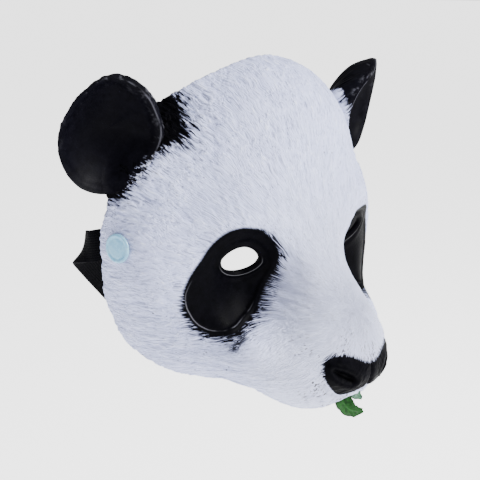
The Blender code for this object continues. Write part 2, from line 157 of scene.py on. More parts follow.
def head_gradient(p, h=0.2):
    g = []
    for i in range(3):
        e = np.zeros(3)
        e[i] = h
        g.append((head_value(p + e) - head_value(p - e)) / (2.0 * h))
    return np.stack(g, axis=-1)


def unit(v):
    return v / np.maximum(np.linalg.norm(v, axis=-1, keepdims=True), 1e-9)


def head_surface(directions):
    d = unit(np.asarray(directions, float))
    core = np.array(CORE)
    lo = np.full(d.shape[:-1], 8.0)
    hi = np.full(d.shape[:-1], 190.0)
    for _ in range(24):
        mid = 0.5 * (lo + hi)
        inside = head_value(core + mid[..., None] * d) < 0.0
        lo = np.where(inside, mid, lo)
        hi = np.where(inside, hi, mid)
    return core + (0.5 * (lo + hi))[..., None] * d


def push_off_head(p, value, steps=6):
    for _ in range(steps):
        g = head_gradient(p)
        n2 = (g * g).sum(-1, keepdims=True)
        p = p - (head_value(p)[..., None] - value * np.sqrt(n2)) * g / n2
    return p


def smooth_table(rows, x):
    rows = np.array(rows, float)
    k, v = rows[:, 0], rows[:, 1:]
    m = np.zeros_like(v)
    m[1:-1] = (v[2:] - v[:-2]) / (k[2:] - k[:-2])[:, None]
    x = np.asarray(x, float)
    i = np.clip(np.searchsorted(k, x, side="right") - 1, 0, len(k) - 2)
    h = (k[i + 1] - k[i])
    t = ((x - k[i]) / h)[..., None]
    h = h[..., None]
    return ((2 * t**3 - 3 * t**2 + 1) * v[i] + (t**3 - 2 * t**2 + t) * h * m[i]
            + (-2 * t**3 + 3 * t**2) * v[i + 1] + (t**3 - t**2) * h * m[i + 1])


def closed_rows(rows, period):
    rows = [tuple(r) for r in rows]
    before = [(r[0] - period,) + r[1:] for r in rows[-3:]]
    after = [(r[0] + period,) + r[1:] for r in rows[:3]]
    return before + rows + after


def face_direction(u, v):
    rho = np.hypot(u, v)
    around = np.degrees(np.arctan2(np.abs(u), v))
    t = np.radians(smooth_table(RIM, around)[..., 0]) * rho
    safe = np.maximum(rho, 1e-9)
    return np.stack([np.sin(t) * u / safe, -np.cos(t), np.sin(t) * v / safe], axis=-1)


def snap_frame(side):
    d = np.array([90.0 - CORE[0], SNAP_Y - CORE[1], SNAP_Z - CORE[2]])
    for _ in range(12):
        p = head_surface(d)
        d = np.array([p[0], SNAP_Y - CORE[1], SNAP_Z - CORE[2]])
    p = head_surface(d)
    g = head_gradient(p)
    n = g / np.linalg.norm(g)
    t = np.array([0.0, 1.0, 0.0])
    t = t - n * (t @ n)
    t /= np.linalg.norm(t)
    up = np.cross(n, t)
    if up[2] < 0.0:
        up = -up
    flip = np.array([side, 1.0, 1.0])
    return p * flip, n * flip, t * flip, up * flip


# ---------------------------------------------------------------- small tools
RNG = np.random.default_rng(7)


def blur(a, sigma):
    """Gaussian blur of a 2-D array along both of its axes."""
    if sigma <= 0.0:
        return a
    r = int(math.ceil(3 * sigma))
    k = np.exp(-0.5 * (np.arange(-r, r + 1) / sigma) ** 2)
    k /= k.sum()
    for ax in (0, 1):
        p = np.pad(a, [(r, r) if i == ax else (0, 0) for i in (0, 1)], mode="reflect")
        out = np.zeros_like(a)
        for i, w in enumerate(k):
            sl = [slice(None), slice(None)]
            sl[ax] = slice(i, i + a.shape[ax])
            out += w * p[tuple(sl)]
        a = out
    return a


def sample(a, i, j):
    """Bilinear lookup in a 2-D array at real indices."""
    n0, n1 = a.shape
    i = np.clip(i, 0.0, n0 - 1.001)
    j = np.clip(j, 0.0, n1 - 1.001)
    i0, j0 = i.astype(int), j.astype(int)
    fi, fj = i - i0, j - j0
    return ((a[i0, j0] * (1 - fi) + a[i0 + 1, j0] * fi) * (1 - fj)
            + (a[i0, j0 + 1] * (1 - fi) + a[i0 + 1, j0 + 1] * fi) * fj)


def smoothstep(a, b, x):
    t = np.clip((x - a) / (b - a), 0.0, 1.0)
    return t * t * (3 - 2 * t)


def make_mesh(name, verts_mm, faces, mat, smooth=True):
    me = bpy.data.meshes.new(name)
    v = np.asarray(verts_mm, np.float32) * MM
    me.vertices.add(len(v))
    me.vertices.foreach_set("co", v.ravel())
    sizes = np.array([len(f) for f in faces], np.int32) if isinstance(faces, list) \
        else np.full(len(faces), faces.shape[1], np.int32)
    loops = np.concatenate([np.asarray(f, np.int32) for f in faces]) if isinstance(faces, list) \
        else faces.astype(np.int32).ravel()
    me.loops.add(len(loops))
    me.loops.foreach_set("vertex_index", loops)
    me.polygons.add(len(sizes))
    starts = np.concatenate([[0], np.cumsum(sizes)[:-1]]).astype(np.int32)
    me.polygons.foreach_set("loop_start", starts)
    me.update(calc_edges=True)
    me.validate()
    if smooth:
        me.shade_smooth()
    me.materials.append(mat)
    ob = bpy.data.objects.new(name, me)
    bpy.context.scene.collection.objects.link(ob)
    return ob


def add_value(ob, name, values):
    a = ob.data.attributes.new(name, "FLOAT", "POINT")
    a.data.foreach_set("value", np.asarray(values, np.float32))


def polygon_distance(poly, x, z):
    """Signed distance of (x, z) to a closed polygon, negative inside."""
    poly = np.asarray(poly, float)
    best = np.full(x.shape, 1e9)
    inside = np.zeros(x.shape, bool)
    for (x0, z0), (x1, z1) in zip(poly, np.roll(poly, -1, axis=0)):
        dx, dz = x1 - x0, z1 - z0
        t = np.clip(((x - x0) * dx + (z - z0) * dz) / (dx * dx + dz * dz + 1e-12), 0, 1)
        best = np.minimum(best, np.hypot(x - x0 - t * dx, z - z0 - t * dz))
        crosses = (z0 > z) != (z1 > z)
        with np.errstate(divide="ignore", invalid="ignore"):
            xi = x0 + (z - z0) * dx / (dz if dz else 1e-12)
        inside ^= crosses & (x < xi)
    return np.where(inside, -best, best)


def round_closed(points, per=5):
    """A closed outline through a short list of points, rounded."""
    p = np.asarray(points, float)
    n = len(p)
    rows = [(i, *p[i]) for i in range(n)]
    t = np.arange(0, n, 1.0 / per)
    return smooth_table(closed_rows(rows, n), t)


# ---------------------------------------------------------------- shader helpers
def new_material(name):
    m = bpy.data.materials.new(name)
    m.use_nodes = True
    nt = m.node_tree
    return m, nt, nt.nodes["Principled BSDF"]


def node(nt, kind, **settings):
    n = nt.nodes.new(kind)
    for k, v in settings.items():
        setattr(n, k, v)
    return n


def link(nt, a, b):
    nt.links.new(a, b)


def obj_coords(nt):
    return node(nt, "ShaderNodeTexCoord").outputs["Object"]


def mapping(nt, vec, scale=(1, 1, 1), rot=(0, 0, 0)):
    m = node(nt, "ShaderNodeMapping")
    m.inputs["Scale"].default_value = scale
    m.inputs["Rotation"].default_value = rot
    link(nt, vec, m.inputs["Vector"])
    return m.outputs["Vector"]


def noise(nt, vec, scale, detail=3.0, rough=0.55, distortion=0.0):
    n = node(nt, "ShaderNodeTexNoise")
    n.inputs["Scale"].default_value = scale
    n.inputs["Detail"].default_value = detail
    n.inputs["Roughness"].default_value = rough
    n.inputs["Distortion"].default_value = distortion
    link(nt, vec, n.inputs["Vector"])
    return n.outputs["Fac"]


def ramp(nt, fac, stops):
    r = node(nt, "ShaderNodeValToRGB")
    e = r.color_ramp.elements
    while len(e) < len(stops):
        e.new(0.5)
    for el, (pos, col) in zip(e, stops):
        el.position = pos
        el.color = (*col, 1.0) if not isinstance(col, float) else (col, col, col, 1.0)
    link(nt, fac, r.inputs["Fac"])
    return r.outputs["Color"]


def maths(nt, op, a, b=None, clamp=False):
    m = node(nt, "ShaderNodeMath", operation=op, use_clamp=clamp)
    for i, x in enumerate((a, b)):
        if x is None:
            continue
        if isinstance(x, (int, float)):
            m.inputs[i].default_value = x
        else:
            link(nt, x, m.inputs[i])
    return m.outputs[0]


def spread(nt, x, a, b, lo=0.0, hi=1.0, smooth=True):
    m = node(nt, "ShaderNodeMapRange", interpolation_type="SMOOTHSTEP" if smooth else "LINEAR")
    m.inputs["From Min"].default_value = a
    m.inputs["From Max"].default_value = b
    m.inputs["To Min"].default_value = lo
    m.inputs["To Max"].default_value = hi
    link(nt, x, m.inputs["Value"])
    return m.outputs["Result"]


def mix_colour(nt, fac, a, b, blend="MIX"):
    m = node(nt, "ShaderNodeMix", data_type="RGBA", blend_type=blend)
    for sock, x in ((m.inputs["Factor"], fac), (m.inputs["A"], a), (m.inputs["B"], b)):
        if isinstance(x, (int, float)):
            sock.default_value = x
        elif isinstance(x, tuple):
            sock.default_value = (*x, 1.0)
        else:
            link(nt, x, sock)
    return m.outputs["Result"]


def attribute(nt, name):
    return node(nt, "ShaderNodeAttribute", attribute_name=name).outputs["Fac"]


def bump(nt, height, distance, strength=1.0, normal=None):
    b = node(nt, "ShaderNodeBump")
    b.inputs["Distance"].default_value = distance
    b.inputs["Strength"].default_value = strength
    link(nt, height, b.inputs["Height"])
    if normal is not None:
        link(nt, normal, b.inputs["Normal"])
    return b.outputs["Normal"]


# ---------------------------------------------------------------- face: the fine grid
N = 336
line = np.linspace(-1.0, 1.0, N + 1) * (1.0 + 1.5 / N)
U, V = np.meshgrid(line, line, indexing="ij")
RHO = np.hypot(U, V)
# outside the disc the form is carried on a little, for the fields only
shrink = np.where(RHO > 1.02, 1.02 / np.maximum(RHO, 1e-9), 1.0)
GRID = head_surface(face_direction(U * shrink, V * shrink))
NORMAL = unit(head_gradient(GRID))


def eye_measure(p, side):
    """1 on the edge of the eye hole, less inside it."""
    turn = math.tan(math.radians(EYE_TURN))
    a = side * p[..., 0] - EYE_X + turn * (p[..., 1] + 3.0)
    b = p[..., 2] - EYE_Z
    t = math.radians(EYE_TILT)
    a, b = a * math.cos(t) + b * math.sin(t), -a * math.sin(t) + b * math.cos(t)
    return a, b, np.sqrt((a / (0.5 * EYE_W)) ** 2 + (np.abs(b) / (0.5 * EYE_H)) ** (1.0 / 0.6))


cell_p = 0.25 * (GRID[:-1, :-1] + GRID[1:, :-1] + GRID[:-1, 1:] + GRID[1:, 1:])
cell_rho = 0.25 * (RHO[:-1, :-1] + RHO[1:, :-1] + RHO[:-1, 1:] + RHO[1:, 1:])
keep = cell_rho < 1.0
for s in (-1, 1):
    keep &= ~((eye_measure(cell_p, s)[2] < 1.0) & (cell_p[..., 1] < 30.0))
ci, cj = np.nonzero(keep)
idx = lambda i, j: i * (N + 1) + j
quads = np.column_stack([idx(ci, cj), idx(ci + 1, cj), idx(ci + 1, cj + 1), idx(ci, cj + 1)])
near = np.zeros((N + 1, N + 1), int)
for di in (0, 1):
    for dj in (0, 1):
        np.add.at(near, (ci + di, cj + dj), 1)
edge = (near > 0) & (near < 4)

# the edge of the grid goes exactly onto the rim and onto the eye holes
u, v = U.copy(), V.copy()
at_rim = edge & (RHO > 0.95)
u[at_rim] /= RHO[at_rim]
v[at_rim] /= RHO[at_rim]
at_eye = edge & ~at_rim
ei, ej = np.nonzero(at_eye)
eu, ev = u[ei, ej], v[ei, ej]
for _ in range(7):
    def hole(uu, vv):
        p = head_surface(face_direction(uu, vv))
        a, b, q = eye_measure(p, np.where(p[..., 0] > 0, 1.0, -1.0))
        return np.column_stack([a, b]), q
    ab, q = hole(eu, ev)
    want = ab / np.maximum(q, 0.3)[:, None]
    h = 1e-3
    ju = (hole(eu + h, ev)[0] - ab) / h
    jv = (hole(eu, ev + h)[0] - ab) / h
    det = ju[:, 0] * jv[:, 1] - ju[:, 1] * jv[:, 0]
    d = want - ab
    eu = eu + (d[:, 0] * jv[:, 1] - d[:, 1] * jv[:, 0]) / det
    ev = ev + (ju[:, 0] * d[:, 1] - ju[:, 1] * d[:, 0]) / det
u[ei, ej], v[ei, ej] = eu, ev
band = edge.copy()
for _ in range(4):
    grown = band.copy()
    grown[1:] |= band[:-1]
    grown[:-1] |= band[1:]
    grown[:, 1:] |= band[:, :-1]
    grown[:, :-1] |= band[:, 1:]
    band = grown
free = band & ~edge & (near == 4)
for _ in range(8):
    for a in (u, v):
        m = a.copy()
        m[1:-1, 1:-1] = 0.25 * (a[:-2, 1:-1] + a[2:, 1:-1] + a[1:-1, :-2] + a[1:-1, 2:])
        a[free] = m[free]

SKIN = head_surface(face_direction(u, v))
SKIN_N = unit(head_gradient(SKIN))

# ---------------------------------------------------------------- face: how the fur lies
SOURCE = np.array([0.0, -46.0, -22.0])
out = GRID - SOURCE
out[..., 1] = 0.0
level = unit(np.cross(np.array([0.0, 1.0, 0.0]), out))
flow = unit(np.cross(level, NORMAL))
flow *= np.where((flow * (GRID - SOURCE)).sum(-1) < 0.0, -1.0, 1.0)[..., None]
wander = blur(RNG.standard_normal(U.shape), 9.0)
wander = wander / wander.std() * math.radians(11.0)
across = np.cross(NORMAL, flow)
flow = flow * np.cos(wander)[..., None] + across * np.sin(wander)[..., None]
PU = np.gradient(GRID, axis=0)
PV = np.gradient(GRID, axis=1)
g11, g12, g22 = (PU * PU).sum(-1), (PU * PV).sum(-1), (PV * PV).sum(-1)
r1, r2 = (PU * flow).sum(-1), (PV * flow).sum(-1)
det = np.maximum(g11 * g22 - g12 * g12, 1e-6)
FI = (r1 * g22 - r2 * g12) / det      # grid steps per mm along the fur
FJ = (r2 * g11 - r1 * g12) / det
limit = np.maximum(np.hypot(FI, FJ), 1e-9)
FI, FJ = FI / limit * np.minimum(limit, 4.0), FJ / limit * np.minimum(limit, 4.0)


def combed(source, reach, step=0.45):
    """A noise drawn out along the fur, as strokes about twice reach mm long."""
    i0, j0 = np.meshgrid(np.arange(N + 1.0), np.arange(N + 1.0), indexing="ij")
    total = source.copy()
    weight = 1.0
    for sign in (1.0, -1.0):
        i, j = i0.copy(), j0.copy()
        steps = int(reach / step)
        for k in range(steps):
            fi, fj = sample(FI, i, j), sample(FJ, i, j)
            i = i + sign * fi * step
            j = j + sign * fj * step
            w = 1.0 - (k + 1.0) / (steps + 1.0)
            total += w * sample(source, i, j)
            weight += w
    total = total / weight
    total -= total.mean()
    return total / total.std()


fine = combed(blur(RNG.standard_normal(U.shape), 0.55), 3.2)
finer = combed(RNG.standard_normal(U.shape), 1.6, 0.35)
coarse = combed(blur(RNG.standard_normal(U.shape), 1.5), 6.5)
clump = blur(RNG.standard_normal(U.shape), 12.0)
clump /= clump.std()
FUR = 0.62 * fine + 0.30 * coarse + 0.30 * finer
FUR /= FUR.std()

# ---------------------------------------------------------------- face: painted regions
# outlines seen from the front, (x, z) on the wearer's left
EYE_PATCH = round_closed((
    (41.7, 20.9), (46.6, 21.6), (52.0, 20.4), (56.4, 17.2), (60.0, 12.4), (62.8, 6.6),
    (65.9, 1.2), (68.6, -4.2), (70.2, -9.4), (70.8, -14.6), (70.2, -20.0), (68.2, -25.6),
    (65.0, -30.4), (60.8, -33.6), (55.8, -34.8), (50.2, -34.0), (43.0, -31.8),
    (35.9, -28.4), (30.6, -24.2), (27.0, -18.6), (24.2, -12.6), (22.4, -6.3),
    (22.0, -0.8), (23.6, 6.0), (28.0, 12.6), (33.4, 17.6), (37.6, 19.9)))
EYE_PLATE = round_closed((
    (41.0, 19.0), (50.0, 18.8), (57.0, 12.5), (61.8, 4.0), (66.2, -3.4), (68.6, -9.2),
    (68.9, -14.1), (67.8, -18.9), (65.6, -24.0), (62.8, -27.4), (59.2, -29.5),
    (55.2, -30.1), (50.6, -29.4), (44.6, -27.8), (37.4, -24.6), (32.6, -20.0),
    (29.0, -13.6), (25.8, -6.2), (25.2, 1.0), (28.0, 9.0), (33.6, 15.8)))
NOSE_PATCH = round_closed((
    (0.0, -46.4), (3.6, -45.6), (8.8, -42.6), (13.7, -40.5), (19.4, -40.0), (22.9, -41.6),
    (24.8, -45.0), (24.7, -48.8), (23.4, -53.4), (19.3, -59.2), (14.0, -63.4),
    (9.4, -63.2), (5.2, -61.6), (0.0, -60.6), (-5.2, -61.6), (-9.4, -63.2),
    (-14.0, -63.4), (-19.3, -59.2), (-23.4, -53.4), (-24.7, -48.8), (-24.8, -45.0),
    (-22.9, -41.6), (-19.4, -40.0), (-13.7, -40.5), (-8.8, -42.6), (-3.6, -45.6)))
EAR_PATCH = np.array((
    (50.6, 96.0), (51.0, 82.0), (51.8, 75.0), (55.2, 65.8), (59.2, 59.0), (65.0, 56.8),
    (71.8, 53.7), (76.2, 47.7), (80.9, 40.5), (85.5, 33.8), (92.0, 31.0), (130.0, 30.0),
    (130.0, 110.0), (51.0, 110.0)))


def patches(p, n):
    """Signed distances in mm to the painted patches, negative inside."""
    x, z = np.abs(p[..., 0]), p[..., 2]
    # a step in x and z is longer on ground that slopes away
    stretch = 1.0 / np.maximum(np.abs(n[..., 1]), 0.42)
    left = smoothstep(1.0, 8.0, p[..., 0])
    z_eye = z + 4.0 * left * smoothstep(6.0, 15.0, z)
    eye = polygon_distance(EYE_PATCH, x, z_eye) * np.sqrt(stretch)
    plate = polygon_distance(EYE_PLATE, x, z_eye) * np.sqrt(stretch)
    nose = polygon_distance(NOSE_PATCH, p[..., 0], z + 2.4 * left * smoothstep(-49.0, -43.0, z)) * np.sqrt(stretch)
    ear = polygon_distance(EAR_PATCH, x - 13.0 * left * smoothstep(50.0, 64.0, z), z) * np.sqrt(stretch)
    far = np.where(p[..., 1] > 8.0, 30.0, 0.0)
    return eye, plate, nose + far, ear


D_EYE, D_PLATE, D_NOSE, D_EAR = patches(SKIN, SKIN_N)
SIDE = np.where(SKIN[..., 0] > 0, 1.0, -1.0)
EA, EB, EQ = eye_measure(SKIN, SIDE)
LID = np.where(SKIN[..., 1] < 30.0, (EQ - 1.0) * 8.8, 60.0)   # mm out from the hole's edge
LID = np.minimum(LID, 60.0)

# how far the painted edges are combed out, in mm
angle = np.arctan2(SKIN[..., 2] + 6.0, np.abs(SKIN[..., 0]) - 46.0)
airbrushed = smoothstep(0.10, 0.75, np.cos(angle - math.radians(52.0)))
low_out = smoothstep(0.0, 0.9, np.cos(angle - math.radians(-115.0)))
R_EYE = 1.0 + (1.0 - airbrushed) * (0.9 + 1.1 * low_out)
H_EYE = 0.12 + 0.88 * (1.0 - airbrushed)
# the dark smear under the inner corner
smear_line = np.array(((-44.1, -31.0), (-47.5, -32.8), (-51.2, -35.2), (-54.0, -38.2)))


def near_line(line, x, z):
    best = np.full(x.shape, 1e9)
    for (x0, z0), (x1, z1) in zip(line[:-1], line[1:]):
        dx, dz = x1 - x0, z1 - z0
        t = np.clip(((x - x0) * dx + (z - z0) * dz) / (dx * dx + dz * dz), 0, 1)
        best = np.minimum(best, np.hypot(x - x0 - t * dx, z - z0 - t * dz))
    return best


d_smear = near_line(smear_line * np.array([-1.0, 1.0]), np.abs(SKIN[..., 0]), SKIN[..., 2])
SMEAR = smoothstep(3.4, 0.2, d_smear) * (SKIN[..., 1] < 6.0)
R_NOSE = 0.30 + 0.75 * smoothstep(-58.0, -44.0, SKIN[..., 2])
R_EAR = 3.2 + 1.0 * smoothstep(40.0, 80.0, SKIN[..., 2])

# ---------------------------------------------------------------- face: relief
furry = smoothstep(-0.5, 2.5, D_EYE) * smoothstep(-1.0, 2.5, D_NOSE)
furry = np.maximum(furry, 0.0)
short = smoothstep(-8.0, -34.0, SKIN[..., 1])            # short fur on the muzzle
near_ear = smoothstep(24.0, 0.0, D_EAR)
amount = furry * (0.105 + 0.075 * smoothstep(-1.0, 1.5, clump) + 0.14 * near_ear) * (1.0 - 0.45 * short)
lift = amount * np.clip(FUR, -2.6, 2.6)
lift += furry * 0.10 * (1.0 - 0.5 * short) * np.clip(coarse, -2.2, 2.2)
# broad, soft unevenness of the moulded latex
uneven = blur(RNG.standard_normal(U.shape), 7.0)
lift += 0.10 * uneven / uneven.std()

# the smooth plate round the eye: sunk, with a raised edge below and outside
lift += -0.6 * smoothstep(1.2, -1.6, D_PLATE)
plate_edge = np.exp(-((D_PLATE - 0.4) / 0.85) ** 2)
outside_low = smoothstep(-0.25, 0.55, np.cos(angle - math.radians(-138.0 + 0.0))) \
    + smoothstep(-0.1, 0.7, np.cos(angle - math.radians(-40.0)))
outside_low = np.clip(outside_low, 0.0, 1.0)
below = smoothstep(8.0, -12.0, SKIN[..., 2])
lift += 0.5 * plate_edge * below

# eyelids: a rolled edge, a crease and a soft outer fold
lift += 0.75 * np.exp(-((LID - 1.2) / 1.2) ** 2)
lift += -0.30 * np.exp(-((LID - 3.4) / 0.9) ** 2)
lift += 0.22 * np.exp(-((LID - 5.4) / 1.5) ** 2)
lift += -0.5 * smoothstep(0.9, 0.0, LID)

# nose: nostrils, wings and the groove between them
NOSTRIL = round_closed(((9.9, -54.6), (11.4, -51.9), (14.4, -49.6), (18.0, -47.8), (20.8, -47.3),
                        (20.5, -49.6), (18.6, -52.4), (15.4, -54.5), (12.0, -55.9)), 6)
d_nostril = polygon_distance(NOSTRIL, np.abs(SKIN[..., 0]), SKIN[..., 2])
on_nose = SKIN[..., 1] < -30.0
lift += np.where(on_nose, -3.4 * smoothstep(1.3, -1.9, d_nostril), 0.0)
lift += np.where(on_nose, 0.45 * np.exp(-((d_nostril - 1.9) / 1.4) ** 2), 0.0)
groove = np.exp(-(SKIN[..., 0] / 1.15) ** 2) * smoothstep(-45.0, -49.0, SKIN[..., 2]) * on_nose
lift += -1.1 * groove
# a crease under the nose pad, and a small step at its upper edge
lift += np.where(on_nose, -0.8 * np.exp(-((D_NOSE - 0.6) / 0.9) ** 2) * smoothstep(-53.0, -57.0, SKIN[..., 2]), 0.0)
lift += np.where(on_nose, 0.35 * smoothstep(0.8, -1.2, D_NOSE), 0.0)
grain = blur(RNG.standard_normal(U.shape), 1.1)
lift += np.where(D_NOSE < 0.5, 0.06 * grain / grain.std(), 0.0)
# whisker pits
pits = np.zeros(U.shape)
pit_table = [(9.5 + 5.2 * (k % 4) + (2.6 if k >= 4 and k < 8 else 0.0), -66.5 + 4.2 * (k // 4) - 0.35 * (k % 4))
             for k in range(10)]
for px, pz in pit_table:
    d2 = (np.abs(SKIN[..., 0]) - px) ** 2 + (SKIN[..., 2] - pz) ** 2
    pits = np.maximum(pits, np.exp(-d2 / 0.55) * (SKIN[..., 1] < -12.0))
lift += -0.5 * pits
# the cut rim is a little thicker and rounded over
rim_mm = (1.0 - np.hypot(u, v)) * 110.0
lift += 0.25 * np.exp(-((rim_mm - 1.6) / 1.5) ** 2) - 0.45 * smoothstep(0.9, 0.0, rim_mm)

FACE = SKIN + SKIN_N * lift[..., None]

used = np.zeros((N + 1) * (N + 1), bool)
used[quads.ravel()] = True
remap = np.cumsum(used) - 1
verts = FACE.reshape(-1, 3)[used]
norms = SKIN_N.reshape(-1, 3)[used]
faces = remap[quads]

# open edges, in order, are turned over and carried through the wall
sides = np.concatenate([faces[:, [0, 1]], faces[:, [1, 2]], faces[:, [2, 3]], faces[:, [3, 0]]])
key = np.sort(sides, axis=1)
uniq, first, count = np.unique(key, axis=0, return_index=True, return_counts=True)
open_sides = sides[first[count == 1]]
nxt = dict((int(a), int(b)) for a, b in open_sides)
loops = []
left = set(nxt)
while left:
    a = min(left)
    loop = []
    while a in left:
        left.discard(a)
        loop.append(a)
        a = nxt[a]
    loops.append(np.array(loop))
def taken(a):
    return np.asarray(a, float).reshape(-1)[used]


values = {
    "fur": taken(FUR * furry), "eye": taken(np.clip(D_EYE, -20.0, 40.0)), "eye_reach": taken(R_EYE), "eye_hair": taken(H_EYE),
    "nose": taken(np.clip(D_NOSE, -20.0, 40.0)), "nose_reach": taken(R_NOSE),
    "ear": taken(np.clip(D_EAR, -20.0, 40.0)), "ear_reach": taken(R_EAR),
    "plate": taken(np.clip(D_PLATE, -20.0, 20.0)),
    # where the painted highlights along the plate's edge and the lower lid fall
    "plate_glint_side": taken(smoothstep(0.25, 0.85, np.cos(angle - math.radians(-62.0)))),
    "lid": taken(LID), "lid_glint_side": taken(smoothstep(0.2, -0.8, EB / (0.5 * EYE_H) + 0.35 * EA / (0.5 * EYE_W))),
    "smear": taken(SMEAR), "pits": taken(pits), "muzzle": taken(short),
    "nostril": taken(np.where(on_nose, smoothstep(0.9, -1.4, d_nostril), 0.0)),
    "bare": np.zeros(int(used.sum())),
}
all_verts, all_faces = [verts], [faces]
base = len(verts)
for loop in loops:
    p0 = verts[loop]
    n0 = norms[loop]
    ring_prev = loop
    is_eye = len(loop) < 400 and p0[:, 1].mean() < 20.0
    centre = p0.mean(0)
    s = 1.0 if centre[0] > 0 else -1.0
    # which way is into the opening: at an eye towards its middle, at the rim outwards
    along = unit(np.roll(p0, -1, 0) - np.roll(p0, 1, 0))
    inward = unit(np.cross(along, n0))
    if is_eye:
        if ((centre - p0) * inward).sum() < 0:
            inward = -inward
    else:
        if ((p0 - np.array([0, 0, 0])) * inward).sum() < 0:
            inward = -inward
    k = WALL / 2.0
    for depth, out, bare in ((0.35, 0.22, 0.0), (1.0, 0.34, 0.35), (1.65, 0.22, 0.8), (2.05, -0.15, 1.0), (2.15, -0.9, 1.0)):
        ring = p0 - n0 * depth + inward * out
        ids = base + np.arange(len(loop))
        all_verts.append(ring)
        a, b = ring_prev, np.roll(ring_prev, -1)
        c, d = np.roll(ids, -1), ids
        all_faces.append(np.column_stack([b, a, d, c]))
        for name in values:
            src = values[name][loop] if name != "bare" else np.full(len(loop), 0.0 if is_eye else bare)
            values[name] = np.concatenate([values[name], src])
        ring_prev = ids
        base += len(loop)
verts = np.concatenate(all_verts)
faces = np.concatenate(all_faces)

# ---------------------------------------------------------------- materials
# spots of stray black paint, (x, y, z) and radius in mm
SPOTS = (
    ((-79.7, 15.5, -20.6), 0.55), ((-79.5, 28.4, -39.2), 0.35), ((-68.1, 9.6, -45.2), 0.40),
    ((-68.1, 11.2, -47.3), 0.35), ((-60.3, 7.3, -53.8), 0.40), ((-70.0, 10.3, -42.2), 0.30),
)


def strokes(nt, across, along, detail, rough, wander, seed):
    """Noise drawn out along the fur: across counts strokes to the radian, along is to the metre."""
    co = obj_coords(nt)
    sub = node(nt, "ShaderNodeVectorMath", operation="SUBTRACT")
    sub.inputs[1].default_value = tuple(SOURCE * MM)
    link(nt, co, sub.inputs[0])
    length = node(nt, "ShaderNodeVectorMath", operation="LENGTH")
    link(nt, sub.outputs[0], length.inputs[0])
    flat = node(nt, "ShaderNodeVectorMath", operation="MULTIPLY")
    flat.inputs[1].default_value = (1.0, 0.0, 1.0)
    link(nt, sub.outputs[0], flat.inputs[0])
    norm = node(nt, "ShaderNodeVectorMath", operation="NORMALIZE")
    link(nt, flat.outputs[0], norm.inputs[0])
    sc = node(nt, "ShaderNodeVectorMath", operation="SCALE")
    sc.inputs["Scale"].default_value = across
    link(nt, norm.outputs[0], sc.inputs[0])
    along_v = node(nt, "ShaderNodeCombineXYZ")
    link(nt, maths(nt, "MULTIPLY", length.outputs["Value"], along), along_v.inputs["Y"])
    add = node(nt, "ShaderNodeVectorMath", operation="ADD")
    link(nt, sc.outputs[0], add.inputs[0])
    link(nt, along_v.outputs[0], add.inputs[1])
    swirl = node(nt, "ShaderNodeTexNoise")
    swirl.inputs["Scale"].default_value = 55.0
    swirl.inputs["Detail"].default_value = 2.0
    link(nt, co, swirl.inputs["Vector"])
    off = node(nt, "ShaderNodeVectorMath", operation="SCALE")
    off.inputs["Scale"].default_value = wander
    link(nt, swirl.outputs["Color"], off.inputs[0])
    add2 = node(nt, "ShaderNodeVectorMath", operation="ADD")
    link(nt, add.outputs[0], add2.inputs[0])
    link(nt, off.outputs[0], add2.inputs[1])
    add3 = node(nt, "ShaderNodeVectorMath", operation="ADD")
    add3.inputs[1].default_value = (seed, 0.0, 0.0)
    link(nt, add2.outputs[0], add3.inputs[0])
    n = noise(nt, add3.outputs[0], 1.0, detail, rough)
    # about zero, about one standard deviation to the unit
    return maths(nt, "MULTIPLY", maths(nt, "SUBTRACT", n, 0.5), 7.5)


def combed_edge(nt, distance, reach, hair, soft=0.5, depth=1.0):
    """Paint cover at a signed distance from its edge, drawn out into hairs."""
    d = maths(nt, "DIVIDE", distance, reach)
    x = maths(nt, "SUBTRACT", maths(nt, "MULTIPLY", hair, depth), d)
    cover = spread(nt, x, -0.25 - soft, -0.25 + soft)
    solid = spread(nt, d, -0.40, -1.15)
    return maths(nt, "MAXIMUM", cover, solid)


